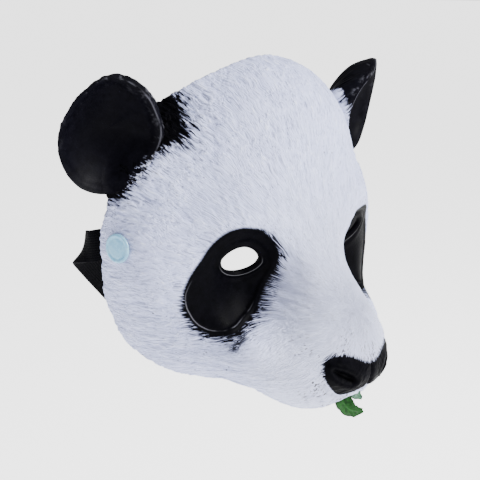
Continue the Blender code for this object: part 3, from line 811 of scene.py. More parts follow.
def latex_face():
    m, nt, b = new_material("latex_face")
    co = obj_coords(nt)
    at = {k: attribute(nt, k) for k in ("fur", "eye", "eye_reach", "eye_hair", "nose", "nose_reach", "ear", "ear_reach",
                                        "plate", "plate_glint_side", "lid", "lid_glint_side", "smear", "pits", "muzzle",
                                        "nostril", "bare")}
    micro = noise(nt, co, 1500.0, 2.0, 0.6)
    blot = noise(nt, co, 26.0, 3.0, 0.6)
    patchy = noise(nt, co, 150.0, 3.0, 0.6)
    hair = strokes(nt, 84.0, 230.0, 2.0, 0.60, 6.5, 0.0)
    hair2 = strokes(nt, 150.0, 360.0, 1.5, 0.6, 9.0, 40.0)
    both = maths(nt, "ADD", maths(nt, "MULTIPLY", hair, 0.70), maths(nt, "MULTIPLY", hair2, 0.66))

    # where the fur shows most: by the ears and round the paint
    by_ear = spread(nt, at["ear"], 24.0, 0.0)
    by_eye = spread(nt, at["eye"], 12.0, 0.5)
    by_nose = spread(nt, at["nose"], 20.0, 1.0)
    show = maths(nt, "ADD", 0.24, maths(nt, "MULTIPLY", by_ear, 0.46))
    show = maths(nt, "ADD", show, maths(nt, "MULTIPLY", by_eye, 0.40))
    show = maths(nt, "ADD", show, maths(nt, "MULTIPLY", spread(nt, blot, 0.42, 0.70), 0.20))
    show = maths(nt, "MULTIPLY", show, maths(nt, "SUBTRACT", 1.0, maths(nt, "MULTIPLY", at["muzzle"], 0.40)), clamp=True)

    tone = maths(nt, "ADD", maths(nt, "MULTIPLY", at["fur"], 0.06), 0.50)
    tone = maths(nt, "ADD", tone, maths(nt, "MULTIPLY", both, 0.085))
    tone = maths(nt, "ADD", tone, maths(nt, "MULTIPLY", maths(nt, "SUBTRACT", micro, 0.5), 0.42))
    tone = maths(nt, "ADD", tone, maths(nt, "MULTIPLY", maths(nt, "SUBTRACT", patchy, 0.5), 0.30))
    white = ramp(nt, tone, [(0.0, (0.190, 0.212, 0.390)), (0.30, (0.345, 0.380, 0.610)),
                            (0.55, (0.464, 0.504, 0.760)), (1.0, (0.675, 0.717, 0.92))])
    white = mix_colour(nt, spread(nt, blot, 0.35, 0.72, 0.0, 0.45), white, (0.41, 0.435, 0.67))
    furrow = maths(nt, "MULTIPLY", spread(nt, both, -0.35, -1.35), show)
    furrow = maths(nt, "MULTIPLY", furrow, spread(nt, micro, 0.30, 0.55, 0.6, 1.0))
    white = mix_colour(nt, furrow, white, (0.055, 0.056, 0.090))
    # painted highlight: the fur's crests lightened, standing in for light catching the lacquer
    crest_highlight = maths(nt, "MULTIPLY", spread(nt, both, 0.8, 1.9), 0.45)
    white = mix_colour(nt, crest_highlight, white, (0.80, 0.82, 0.91))
    # painted highlight: the muzzle and the bridge lightened, standing in for light from the front
    white = mix_colour(nt, maths(nt, "MULTIPLY", at["muzzle"], 0.42), white, (0.72, 0.755, 0.95))
    # short dark hairs over the muzzle
    dash = strokes(nt, 40.0, 520.0, 1.0, 0.5, 6.0, 90.0)
    dash = maths(nt, "MULTIPLY", spread(nt, dash, 0.70, 1.20), spread(nt, noise(nt, co, 75.0, 2.0, 0.5), 0.42, 0.55))
    dash = maths(nt, "MULTIPLY", dash, maths(nt, "ADD", maths(nt, "MULTIPLY", by_nose, 0.95), maths(nt, "MULTIPLY", at["muzzle"], 0.30)), clamp=True)
    white = mix_colour(nt, dash, white, (0.10, 0.095, 0.12))
    # specks of black spray
    v = node(nt, "ShaderNodeTexVoronoi")
    v.inputs["Scale"].default_value = 230.0
    link(nt, co, v.inputs["Vector"])
    rare = spread(nt, noise(nt, co, 62.0, 2.0, 0.5), 0.60, 0.68)
    speck = maths(nt, "MULTIPLY", spread(nt, v.outputs["Distance"], 0.16, 0.08), rare)
    white = mix_colour(nt, maths(nt, "MULTIPLY", speck, 0.7), white, (0.05, 0.05, 0.075))
    white = mix_colour(nt, maths(nt, "MULTIPLY", at["pits"], 0.45), white, (0.20, 0.19, 0.26))
    for spot, radius in SPOTS:
        gap_v = node(nt, "ShaderNodeVectorMath", operation="DISTANCE")
        gap_v.inputs[1].default_value = tuple(c * MM for c in spot)
        link(nt, co, gap_v.inputs[0])
        near_spot = spread(nt, gap_v.outputs["Value"], radius * 1.3 * MM, radius * 0.7 * MM)
        white = mix_colour(nt, maths(nt, "MULTIPLY", near_spot, 0.9), white, (0.012, 0.012, 0.018))

    # black paint
    dark = ramp(nt, noise(nt, co, 300.0, 4.0, 0.6), [(0.3, (0.0006, 0.0006, 0.0010)), (0.75, (0.0018, 0.0017, 0.0028))])
    on_nose_pad = spread(nt, at["nose"], 0.6, -0.6)
    nose_col = ramp(nt, patchy, [(0.3, (0.0007, 0.0007, 0.0012)), (0.7, (0.0022, 0.0021, 0.0034))])
    dark = mix_colour(nt, on_nose_pad, dark, nose_col)
    # painted shade: the nostril pits set to the darkest black
    dark = mix_colour(nt, at["nostril"], dark, (0.0006, 0.0006, 0.0010))
    # painted highlight along the plate's raised edge and under the eye hole: glints on the ridges lightened into the
    # black paint
    wobble = maths(nt, "MULTIPLY", maths(nt, "SUBTRACT", patchy, 0.5), 0.8)
    line = maths(nt, "ABSOLUTE", maths(nt, "ADD", at["plate"], wobble))
    line = maths(nt, "MULTIPLY", spread(nt, line, 0.42, 0.08), at["plate_glint_side"])
    gap = spread(nt, noise(nt, co, 85.0, 2.0, 0.5), 0.40, 0.56)
    line = maths(nt, "MULTIPLY", line, gap)
    dark = mix_colour(nt, maths(nt, "MULTIPLY", line, 0.32), dark, (0.17, 0.17, 0.20))
    lid_glint = maths(nt, "ABSOLUTE", maths(nt, "SUBTRACT", at["lid"], 1.5))
    lid_glint = maths(nt, "MULTIPLY", spread(nt, lid_glint, 0.30, 0.05), at["lid_glint_side"])
    dark = mix_colour(nt, maths(nt, "MULTIPLY", lid_glint, 0.28), dark, (0.22, 0.22, 0.24))

    long_hair = strokes(nt, 120.0, 120.0, 2.0, 0.55, 6.0, 70.0)
    drawn = maths(nt, "ADD", maths(nt, "MULTIPLY", long_hair, 0.85), maths(nt, "MULTIPLY", hair2, 0.35))
    cover = combed_edge(nt, at["eye"], at["eye_reach"], drawn, 0.85, at["eye_hair"])
    fade = spread(nt, at["eye"], 1.0, 8.0, 1.0, 0.50)
    cover = maths(nt, "MULTIPLY", cover, fade)
    cover = maths(nt, "MAXIMUM", cover, combed_edge(nt, at["nose"], at["nose_reach"], both, 0.9))
    ear_c = maths(nt, "MULTIPLY", combed_edge(nt, at["ear"], at["ear_reach"], drawn, 0.80), spread(nt, at["ear"], 1.0, 12.0, 1.0, 0.55))
    cover = maths(nt, "MAXIMUM", cover, ear_c)
    smear_c = maths(nt, "MULTIPLY", at["smear"], spread(nt, maths(nt, "ADD", both, maths(nt, "MULTIPLY", at["smear"], 1.2)), 0.2, 1.1))
    cover = maths(nt, "MAXIMUM", cover, maths(nt, "MULTIPLY", smear_c, 0.97))
    col = mix_colour(nt, cover, white, dark)
    # bare latex on the cut edge
    col = mix_colour(nt, maths(nt, "MULTIPLY", at["bare"], 0.5), col, (0.50, 0.49, 0.52))
    link(nt, col, b.inputs["Base Color"])
    r_white = ramp(nt, patchy, [(0.3, 0.46), (0.7, 0.60)])
    r_dark = ramp(nt, patchy, [(0.3, 0.40), (0.7, 0.52)])
    link(nt, mix_colour(nt, cover, r_white, r_dark), b.inputs["Roughness"])
    link(nt, maths(nt, "SUBTRACT", 0.40, maths(nt, "MULTIPLY", cover, 0.384)), b.inputs["Specular IOR Level"])
    fur_amount = maths(nt, "MULTIPLY", spread(nt, at["eye"], -1.0, 2.0), spread(nt, at["nose"], -1.0, 2.0))
    h = maths(nt, "MULTIPLY", maths(nt, "ADD", maths(nt, "MULTIPLY", both, 0.30), 0.0), fur_amount)
    h = maths(nt, "ADD", h, maths(nt, "MULTIPLY", micro, 0.22))
    link(nt, bump(nt, h, 0.00075, 0.85), b.inputs["Normal"])
    return m


FACE_MAT = latex_face()
face = make_mesh("face", verts, faces, FACE_MAT)
for name, val in values.items():
    add_value(face, name, val)
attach(face, "root")
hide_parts("face_shell")
print("face verts", len(verts), "faces", len(faces), "loops", [len(l) for l in loops])


# ---------------------------------------------------------------- inner skin
def build_inner():
    m, nt, b = new_material("latex_inside")
    co = obj_coords(nt)
    a = noise(nt, co, 45.0, 4.0, 0.6)
    c = ramp(nt, a, [(0.3, (0.50, 0.485, 0.455)), (0.7, (0.62, 0.60, 0.57))])
    # near-black paint on the lining round the eye holes, and painted shade in a black patch behind each eye
    c = mix_colour(nt, spread(nt, maths(nt, "ADD", attribute(nt, "sprayed_black_and_shade"), maths(nt, "MULTIPLY", a, 0.3)), 0.35, 0.85), c, (0.006, 0.006, 0.009))
    link(nt, c, b.inputs["Base Color"])
    rr = ramp(nt, noise(nt, co, 90.0), [(0.3, 0.5), (0.7, 0.68)])
    link(nt, rr, b.inputs["Roughness"])
    link(nt, bump(nt, noise(nt, co, 420.0, 4.0, 0.6), 0.0004, 0.5), b.inputs["Normal"])
    n = 132
    ln = np.linspace(-1.0, 1.0, n + 1) * (1.0 + 1.5 / n)
    uu, vv = np.meshgrid(ln, ln, indexing="ij")
    rho = np.hypot(uu, vv)
    s = np.where(rho > 1.02, 1.02 / np.maximum(rho, 1e-9), 1.0)
    g = head_surface(face_direction(uu * s, vv * s))
    cp = 0.25 * (g[:-1, :-1] + g[1:, :-1] + g[:-1, 1:] + g[1:, 1:])
    cr = 0.25 * (rho[:-1, :-1] + rho[1:, :-1] + rho[:-1, 1:] + rho[1:, 1:])
    kp = cr < 1.0
    for sd in (-1, 1):
        kp &= ~((eye_measure(cp, sd)[2] < 1.0) & (cp[..., 1] < 30.0))
    ii, jj = np.nonzero(kp)
    ix = lambda i, j: i * (n + 1) + j
    q = np.column_stack([ix(ii, jj), ix(ii, jj + 1), ix(ii + 1, jj + 1), ix(ii + 1, jj)])
    nr = np.zeros((n + 1, n + 1), int)
    for di in (0, 1):
        for dj in (0, 1):
            np.add.at(nr, (ii + di, jj + dj), 1)
    ed = (nr > 0) & (nr < 4)
    ar = ed & (rho > 0.93)
    lim = 0.9955
    uu[ar] *= lim / rho[ar]
    vv[ar] *= lim / rho[ar]
    ae = ed & ~ar
    p = head_surface(face_direction(uu * np.minimum(1, s), vv * np.minimum(1, s)))
    e_i, e_j = np.nonzero(ae)
    a_u, a_v = uu[e_i, e_j], vv[e_i, e_j]
    for _ in range(6):
        def hole(x, y):
            pp = head_surface(face_direction(x, y))
            aa, bb, qq = eye_measure(pp, np.where(pp[..., 0] > 0, 1.0, -1.0))
            return np.column_stack([aa, bb]), qq
        ab2, q2 = hole(a_u, a_v)
        want2 = ab2 / np.maximum(q2, 0.3)[:, None] * 1.03
        h = 1e-3
        j1 = (hole(a_u + h, a_v)[0] - ab2) / h
        j2 = (hole(a_u, a_v + h)[0] - ab2) / h
        dt = j1[:, 0] * j2[:, 1] - j1[:, 1] * j2[:, 0]
        dd = want2 - ab2
        a_u = a_u + (dd[:, 0] * j2[:, 1] - dd[:, 1] * j2[:, 0]) / dt
        a_v = a_v + (j1[:, 0] * dd[:, 1] - j1[:, 1] * dd[:, 0]) / dt
    uu[e_i, e_j], vv[e_i, e_j] = a_u, a_v
    p = head_surface(face_direction(uu, vv))
    nn = unit(head_gradient(p))
    pit = polygon_distance(NOSTRIL, np.abs(p[..., 0]), p[..., 2])
    pit = np.where(p[..., 1] < -30.0, smoothstep(3.6, -1.0, pit), 0.0)
    p = p - nn * (2.0 + 3.4 * pit)[..., None]
    us = np.zeros((n + 1) ** 2, bool)
    us[q.ravel()] = True
    rm = np.cumsum(us) - 1
    ob = make_mesh("face_inside", p.reshape(-1, 3)[us], rm[q], m)
    hole_q = eye_measure(p, np.where(p[..., 0] > 0, 1.0, -1.0))[2]
    sprayed_black_and_shade = np.where(p[..., 1] < 30.0, smoothstep(2.3, 1.2, hole_q), 0.0)
    # painted shade: a black patch on the lining behind each eye, where the far eye hole looks into the shaded inside
    beside = np.hypot(np.abs(p[..., 0]) - 72.0, p[..., 2] + 7.0)      # what shows through the far eye hole
    sprayed_black_and_shade = np.maximum(sprayed_black_and_shade, smoothstep(24.0, 14.0, beside))
    add_value(ob, "sprayed_black_and_shade", sprayed_black_and_shade.reshape(-1)[us])
    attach(ob, "root")
    return ob


inside = build_inner()


# ---------------------------------------------------------------- ears
def ear_axes():
    w = np.array(EAR_BACK_AXIS)
    w = w / np.linalg.norm(w)
    up = np.array(EAR_UP_AXIS)
    up = up - w * (up @ w)
    up = up / np.linalg.norm(up)
    n = np.cross(up, w)
    if n[1] > 0.0:
        n = -n
    return w, up, n


def ear_rim(theta):
    w, up, n = ear_axes()
    row = smooth_table(closed_rows(EAR_RIM, 360.0), np.asarray(theta) % 360.0)
    r, off = row[..., 0], row[..., 1]
    a = np.radians(theta)
    return (np.array(EAR_CENTRE) + (r * np.cos(a))[..., None] * w
            + (r * np.sin(a))[..., None] * up + off[..., None] * n)


def ear_point(theta, s):
    w, up, n = ear_axes()
    rim = ear_rim(theta)
    centre = np.array(EAR_CENTRE)
    q = np.clip(-s, 0.0, 1.0)
    cup = rim + (centre - rim) * q[..., None] - (EAR_CUP * np.sin(0.5 * np.pi * q) ** 0.8)[..., None] * n
    root = np.array(EAR_ROOT)
    b = np.clip(s, 0.0, 1.0)
    lean = (7.5 * np.sin(np.pi * np.clip(b, 0.0, 1.0)) ** 0.7)[..., None]
    out = unit(rim - centre)
    swell = (0.55 + 0.65 * np.clip(np.cos(np.radians(theta - 115.0)), 0.0, 1.0))[..., None]
    horn = rim + (root - rim) * (b ** 1.05)[..., None] + lean * (swell * out - 0.75 * n)
    return np.where((s < 0.0)[..., None], cup, horn)


def latex_ear():
    m, nt, b = new_material("latex_ear")
    co = obj_coords(nt)
    strk = attribute(nt, "strokes")
    cup_shade = attribute(nt, "cup_shade")
    rim_highlight_mask = attribute(nt, "rim_highlight_band")
    edge_d = attribute(nt, "ear")
    thin_highlight = attribute(nt, "thin_highlight")
    patchy = noise(nt, co, 160.0, 4.0, 0.6)
    micro = noise(nt, co, 1500.0, 2.0, 0.6)
    hair = strokes(nt, 84.0, 230.0, 2.0, 0.60, 6.5, 0.0)
    hair2 = strokes(nt, 150.0, 360.0, 1.5, 0.6, 9.0, 40.0)
    both = maths(nt, "ADD", maths(nt, "MULTIPLY", hair, 0.70), maths(nt, "MULTIPLY", hair2, 0.66))
    c = ramp(nt, noise(nt, co, 300.0, 4.0, 0.6), [(0.3, (0.0010, 0.0009, 0.0018)), (0.75, (0.0028, 0.0027, 0.0046))])
    # painted shade: the cup darker towards its middle
    c = mix_colour(nt, maths(nt, "MULTIPLY", cup_shade, 0.75), c, (0.0007, 0.0006, 0.0018))
    # painted highlight: the rolled rim lightened in streaks, mostly on its upper side, standing in for light catching
    # it
    rim_highlight = maths(nt, "ADD", maths(nt, "MULTIPLY", both, 0.14), maths(nt, "MULTIPLY", maths(nt, "SUBTRACT", patchy, 0.5), 1.5))
    rim_highlight = maths(nt, "MULTIPLY", rim_highlight_mask, spread(nt, rim_highlight, 0.05, 0.45))
    c = mix_colour(nt, maths(nt, "MULTIPLY", rim_highlight, 0.34), c, (0.16, 0.16, 0.19))
    # painted highlight: a thin light line along the rim's inner, medial side
    thin_highlight = maths(nt, "MULTIPLY", thin_highlight, spread(nt, noise(nt, co, 120.0, 2.0, 0.5), 0.38, 0.55))
    c = mix_colour(nt, maths(nt, "MULTIPLY", thin_highlight, 0.30), c, (0.20, 0.20, 0.24))
    w = ramp(nt, patchy, [(0.3, (0.40, 0.425, 0.60)), (0.7, (0.56, 0.59, 0.78))])
    cover = combed_edge(nt, edge_d, 2.4, both, 0.80)
    c = mix_colour(nt, cover, w, c)
    link(nt, c, b.inputs["Base Color"])
    link(nt, ramp(nt, patchy, [(0.3, 0.38), (0.7, 0.52)]), b.inputs["Roughness"])
    b.inputs["Specular IOR Level"].default_value = 0.022
    h = maths(nt, "ADD", maths(nt, "MULTIPLY", micro, 0.4), maths(nt, "MULTIPLY", maths(nt, "MULTIPLY", strk, rim_highlight_mask), 0.30))
    link(nt, bump(nt, h, 0.00025, 0.6), b.inputs["Normal"])
    return m


EAR_MAT = latex_ear()


def build_ear(side):
    rng = np.random.default_rng(11 if side > 0 else 12)
    na, ns = 360, 200
    theta = np.arange(na) * 360.0 / na
    s_cup = -np.linspace(1.0, 0.0, 90) ** 1.15
    s_horn = np.linspace(0.0, 1.0, 112)[1:] ** 1.15
    s = np.concatenate([s_cup, s_horn])
    T, S = np.meshgrid(theta, s, indexing="ij")
    p = ear_point(T, S)
    w, up, n = ear_axes()
    centre = np.array(EAR_CENTRE)
    # arc length from the rim, signed
    seg = np.linalg.norm(np.diff(p, axis=1), axis=2)
    L = np.concatenate([np.zeros((na, 1)), np.cumsum(seg, axis=1)], axis=1)
    k0 = len(s_cup) - 1
    L = L - L[:, k0:k0 + 1]
    # normals by differences
    du = np.roll(p, -1, 0) - np.roll(p, 1, 0)
    dv = np.gradient(p, axis=1)
    nn = unit(np.cross(du, dv))
    mid = ((p - (centre - n * 8.0)) * nn)[:, k0 + 4:k0 + 20].sum()
    if mid < 0:
        nn = -nn
    bad = ~np.isfinite(nn).all(-1)
    nn[bad] = 0
    # rounded thick rim
    rim_out = unit(ear_rim(T) - centre)
    edge_r = np.exp(-(L / 1.5) ** 2)
    p = p + (rim_out * 0.30 + n * 0.20) * edge_r[..., None]
    roll_in = np.exp(-((L + 2.8) / 2.6) ** 2)
    roll_out = np.exp(-((L - 2.8) / 1.8) ** 2)
    # strokes run from the rim inwards and backwards
    def drawn(sig_t, sig_s, seed):
        r = np.random.default_rng(seed)
        a = r.standard_normal((na, len(s)))
        fa = np.fft.fft(a, axis=0)
        fr = np.fft.fftfreq(na)[:, None]
        a = np.real(np.fft.ifft(fa * np.exp(-2 * (np.pi * fr * sig_t) ** 2), axis=0))
        rr = int(3 * sig_s)
        kk = np.exp(-0.5 * (np.arange(-rr, rr + 1) / sig_s) ** 2)
        kk /= kk.sum()
        pad = np.pad(a, ((0, 0), (rr, rr)), mode="reflect")
        o = sum(kw * pad[:, i:i + len(s)] for i, kw in enumerate(kk))
        return o / o.std()
    f1 = drawn(1.1, 7.0, 21 if side > 0 else 31)
    f2 = drawn(3.0, 12.0, 22 if side > 0 else 32)
    f3 = drawn(9.0, 14.0, 23 if side > 0 else 33)
    # few strokes fit near the cup's middle and the root
    radius = np.linalg.norm(p - p.mean(0, keepdims=True), axis=2)
    fit = smoothstep(2.0, 12.0, radius)
    on_horn = smoothstep(-1.0, 3.0, L)
    rel = (0.10 * f1 + 0.10 * f2) * fit * on_horn
    rel += 0.30 * f3 * fit * (0.10 + 0.90 * on_horn)
    rel += 0.45 * roll_in + 0.35 * roll_out - 0.15 * edge_r
    p = p + nn * rel[..., None]
    # where it meets the head it flows onto it
    hv = head_value(p) / np.maximum(np.linalg.norm(head_gradient(p), axis=-1), 0.3)
    k = 5.0
    t = np.clip(0.5 + 0.5 * (hv - 0.32) / k, 0.0, 1.0)
    want = 0.32 + (hv - 0.32) * t + k * t * (1.0 - t) * 0.5
    want = np.where(hv > 0.32 + k, hv, want)
    close = hv < 0.32 + k
    q = p.copy()
    q[close] = push_to(p[close], want[close])
    deep_in = hv < -7.5
    flip = np.array([side, 1.0, 1.0])
    v = (q * flip).reshape(-1, 3)
    ii, jj = np.meshgrid(np.arange(na), np.arange(len(s) - 1), indexing="ij")
    i2 = (ii + 1) % na
    ix = lambda i, j: i * len(s) + j
    fq = np.stack([ix(ii, jj), ix(i2, jj), ix(i2, jj + 1), ix(ii, jj + 1)], axis=-1)
    gone = deep_in[ii, jj] | deep_in[i2, jj] | deep_in[i2, jj + 1] | deep_in[ii, jj + 1]
    fq = fq[~gone]
    if side > 0:
        fq = fq[:, ::-1]
    us = np.zeros(len(v), bool)
    us[fq.ravel()] = True
    rm = np.cumsum(us) - 1
    ob = make_mesh("ear_left_skin" if side > 0 else "ear_right_skin", v[us], rm[fq], EAR_MAT)
    bm = bmesh.new()
    bm.from_mesh(ob.data)
    bmesh.ops.recalc_face_normals(bm, faces=bm.faces[:])
    # the cup's rim area must face outwards from the ear's body
    bm.faces.ensure_lookup_table()
    c = Vector((centre - n * 9.0) * flip) * MM
    tot = sum((f.calc_center_median() - c).dot(f.normal) for f in list(bm.faces)[::97])
    if tot < 0:
        bmesh.ops.reverse_faces(bm, faces=bm.faces[:])
    bm.to_mesh(ob.data)
    bm.free()
    ob.data.shade_smooth()
    add_value(ob, "strokes", (0.7 * f1 + 0.5 * f2).reshape(-1)[us])
    # painted shade in the cup: how far towards its middle
    cup_shade_amount = np.where(S < 0, smoothstep(0.15, 0.9, -S), 0.0)
    add_value(ob, "cup_shade", cup_shade_amount.reshape(-1)[us])
    upper = smoothstep(-0.3, 0.8, np.sin(np.radians(T - 25.0)))
    medial = smoothstep(70.0, 110.0, T) * smoothstep(235.0, 200.0, T)
    # where the thin painted highlight runs along the medial rim
    add_value(ob, "thin_highlight", (smoothstep(0.55, 0.10, np.abs(L + 0.25)) * medial).reshape(-1)[us])
    # the band where the rim's painted highlight falls, weighted to the upper side
    add_value(ob, "rim_highlight_band", np.clip((roll_out + 0.7 * edge_r + 0.3 * roll_in) * (0.12 + 0.88 * upper), 0, 1).reshape(-1)[us])
    # the head's white comes up the ear's skirt where it lies on the head
    if side > 0:
        # on the left the white climbs the front of the ear's root
        d = polygon_distance(EAR_PATCH, np.abs(q[..., 0]) - 13.0 * smoothstep(50.0, 64.0, q[..., 2]), q[..., 2])
        d = np.where(want < 4.0, d, -12.0)
        front = smoothstep(95.0, 125.0, T) * smoothstep(232.0, 214.0, T) * (S > -0.02)
        d = np.maximum(d, np.where(front > 0.0, (6.2 - hv) - 12.0 * (1.0 - front), -12.0))
    else:
        d = polygon_distance(EAR_PATCH, np.abs(q[..., 0]), q[..., 2])
        d = np.where(want < 4.0, d, -12.0)
    add_value(ob, "ear", np.clip(d, -12.0, 20.0).reshape(-1)[us])
    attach(ob, "root")
    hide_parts("ear_left" if side > 0 else "ear_right")
    return ob


def push_to(p, value):
    for _ in range(6):
        g = head_gradient(p)
        n2 = (g * g).sum(-1, keepdims=True)
        step = (head_value(p)[..., None] - value[..., None] * np.sqrt(n2)) * g / n2
        ln = np.linalg.norm(step, axis=-1, keepdims=True)
        p = p - step * np.minimum(1.0, 8.0 / np.maximum(ln, 1e-9))
    return p


ears = [build_ear(s) for s in (-1, 1)]


# ---------------------------------------------------------------- snaps
def snap_material():
    m, nt, b = new_material("snap_plastic")
    co = obj_coords(nt)
    n1 = noise(nt, co, 260.0, 3.0, 0.6)
    c = ramp(nt, n1, [(0.30, (0.13, 0.36, 0.56)), (0.55, (0.19, 0.44, 0.63)), (0.80, (0.34, 0.58, 0.72))])
    v = node(nt, "ShaderNodeTexVoronoi")
    v.inputs["Scale"].default_value = 420.0
    link(nt, co, v.inputs["Vector"])
    dots = maths(nt, "MULTIPLY", spread(nt, v.outputs["Distance"], 0.22, 0.10), spread(nt, noise(nt, co, 190.0), 0.56, 0.62))
    c = mix_colour(nt, maths(nt, "MULTIPLY", dots, 0.6), c, (0.12, 0.20, 0.26))
    edge_a = attribute(nt, "edge")
    c = mix_colour(nt, maths(nt, "MULTIPLY", edge_a, 0.7), c, (0.16, 0.30, 0.38))
    link(nt, c, b.inputs["Base Color"])
    link(nt, ramp(nt, n1, [(0.3, 0.22), (0.7, 0.34)]), b.inputs["Roughness"])
    b.inputs["Specular IOR Level"].default_value = 0.5
    b.inputs["Subsurface Weight"].default_value = 0.25
    b.inputs["Subsurface Radius"].default_value = (0.002, 0.003, 0.003)
    b.inputs["Subsurface Scale"].default_value = 1.0
    link(nt, bump(nt, noise(nt, co, 700.0, 3.0), 0.0001, 0.4), b.inputs["Normal"])
    return m


SNAP_MAT = snap_material()
STRAP_OUT = WALL + GAP + 0.25
STRAP_IN = STRAP_OUT + STRAP_T
BACK_TOP = STRAP_IN + 1.0


def turned(name, side, profile, edge_from, replaced):
    p, n, t, up = snap_frame(side)
    prof = []
    pts = np.array(profile, float)
    # rounded corners: the profile is resampled and softened
    seg = np.concatenate([[0], np.cumsum(np.linalg.norm(np.diff(pts, axis=0), axis=1))])
    m = 70
    tt = np.linspace(0, seg[-1], m)
    rr = np.interp(tt, seg, pts[:, 0])
    hh = np.interp(tt, seg, pts[:, 1])
    for _ in range(2):
        rr[1:-1] = 0.25 * rr[:-2] + 0.5 * rr[1:-1] + 0.25 * rr[2:]
        hh[1:-1] = 0.25 * hh[:-2] + 0.5 * hh[1:-1] + 0.25 * hh[2:]
    na = 96
    ang = np.arange(na) * math.tau / na
    v = (p + rr[:, None, None] * (np.cos(ang)[None, :, None] * t + np.sin(ang)[None, :, None] * up)
         + hh[:, None, None] * n)
    i, j = np.meshgrid(np.arange(m - 1), np.arange(na), indexing="ij")
    ix = lambda a, b: a * na + b % na
    q = np.stack([ix(i, j), ix(i + 1, j), ix(i + 1, j + 1), ix(i, j + 1)], axis=-1).reshape(-1, 4)
    ob = make_mesh(name, v.reshape(-1, 3), q, SNAP_MAT)
    bm = bmesh.new()
    bm.from_mesh(ob.data)
    bmesh.ops.remove_doubles(bm, verts=bm.verts[:], dist=1e-6)
    bmesh.ops.recalc_face_normals(bm, faces=bm.faces[:])
    bm.to_mesh(ob.data)
    bm.free()
    ob.data.shade_smooth()
    co = np.zeros(len(ob.data.vertices) * 3)
    ob.data.vertices.foreach_get("co", co)
    co = co.reshape(-1, 3) / MM
    r = np.linalg.norm(np.cross(co - p, n), axis=1)
    add_value(ob, "edge", smoothstep(edge_from, SNAP_R, r) * (edge_from < SNAP_R))
    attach(ob, "root")
    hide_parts(replaced)
    return ob


CAP_PROFILE = (
    (0.0, 1.45), (2.4, 1.42), (4.4, 1.34), (5.2, 1.10), (5.7, 1.55), (6.3, 1.66), (6.8, 1.50),
    (SNAP_R, 0.95), (SNAP_R, 0.30), (6.6, 0.22), (3.2, 0.45), (1.9, 0.50),
    (1.9, -(BACK_TOP + 1.6)), (0.0, -(BACK_TOP + 1.6)),
)
BACK_PROFILE = (
    (2.3, -BACK_TOP), (5.2, -BACK_TOP), (5.5, -BACK_TOP - 0.4),
    (4.9, -BACK_TOP - 1.4), (2.3, -BACK_TOP - 1.6), (2.3, -BACK_TOP),
)
for s in (-1, 1):
    label = "left" if s > 0 else "right"
    turned("snap_%s_cap" % label, s, CAP_PROFILE, 6.4, "snap_cap_" + label)
    turned("snap_%s_back" % label, s, BACK_PROFILE, 99.0, "snap_back_" + label)


# ---------------------------------------------------------------- strap
def strap_stations():
    p, n, t, up = snap_frame(1)
    depth = STRAP_OUT + 0.5 * STRAP_T
    rows = []
    for along in (-9.0, 0.0, 9.0, 15.5):
        q = push_off_head(np.array([p + t * along - n * depth]), -depth)[0]
        q[2] = SNAP_Z - 0.13 * along
        rows.append((*q, *up))
    rows += [tuple(r) for r in STRAP]
    return rows


def strap_curve(count):
    half = np.array(strap_stations())
    mirror = half[:-1][::-1] * np.array([-1, 1, 1, -1, 1, 1])
    rows = np.vstack([half, mirror])
    step = np.linalg.norm(np.diff(rows[:, :3], axis=0), axis=1)
    s = np.concatenate([[0.0], np.cumsum(step)])
    table = np.column_stack([s, rows])
    fine_t = smooth_table(table, np.linspace(0.0, s[-1], 3000))
    d = np.concatenate([[0.0], np.cumsum(np.linalg.norm(np.diff(fine_t[:, :3], axis=0), axis=1))])
    even = np.linspace(0.0, d[-1], count)
    out = np.column_stack([np.interp(even, d, fine_t[:, k]) for k in range(6)])
    return out[:, :3], out[:, 3:], d[-1]


def strap_material(length):
    m, nt, b = new_material("elastic")
    co = node(nt, "ShaderNodeUVMap", uv_map="band").outputs["UV"]
    sep = node(nt, "ShaderNodeSeparateXYZ")
    link(nt, co, sep.inputs[0])
    x, y = sep.outputs[0], sep.outputs[1]           # mm along, mm across
    ribs = maths(nt, "SINE", maths(nt, "MULTIPLY", y, math.tau / 1.25))
    picks = maths(nt, "SINE", maths(nt, "ADD", maths(nt, "MULTIPLY", x, math.tau / 0.9), maths(nt, "MULTIPLY", ribs, 1.1)))
    weave = maths(nt, "ADD", maths(nt, "MULTIPLY", ribs, 0.6), maths(nt, "MULTIPLY", picks, 0.4))
    oc = obj_coords(nt)
    fuzz = noise(nt, oc, 900.0, 3.0, 0.7)
    f = maths(nt, "ADD", maths(nt, "MULTIPLY", weave, 0.25), maths(nt, "MULTIPLY", fuzz, 0.6))
    c = ramp(nt, f, [(0.1, (0.0008, 0.0008, 0.0014)), (0.55, (0.0022, 0.0021, 0.0034)), (0.95, (0.0075, 0.0075, 0.010))])
    link(nt, c, b.inputs["Base Color"])
    link(nt, ramp(nt, fuzz, [(0.3, 0.74), (0.7, 0.90)]), b.inputs["Roughness"])
    b.inputs["Specular IOR Level"].default_value = 0.04
    b.inputs["Sheen Weight"].default_value = 0.004
    b.inputs["Sheen Roughness"].default_value = 0.5
    h = maths(nt, "ADD", maths(nt, "MULTIPLY", weave, 0.5), maths(nt, "MULTIPLY", fuzz, 0.5))
    link(nt, bump(nt, h, 0.0003, 0.8), b.inputs["Normal"])
    return m


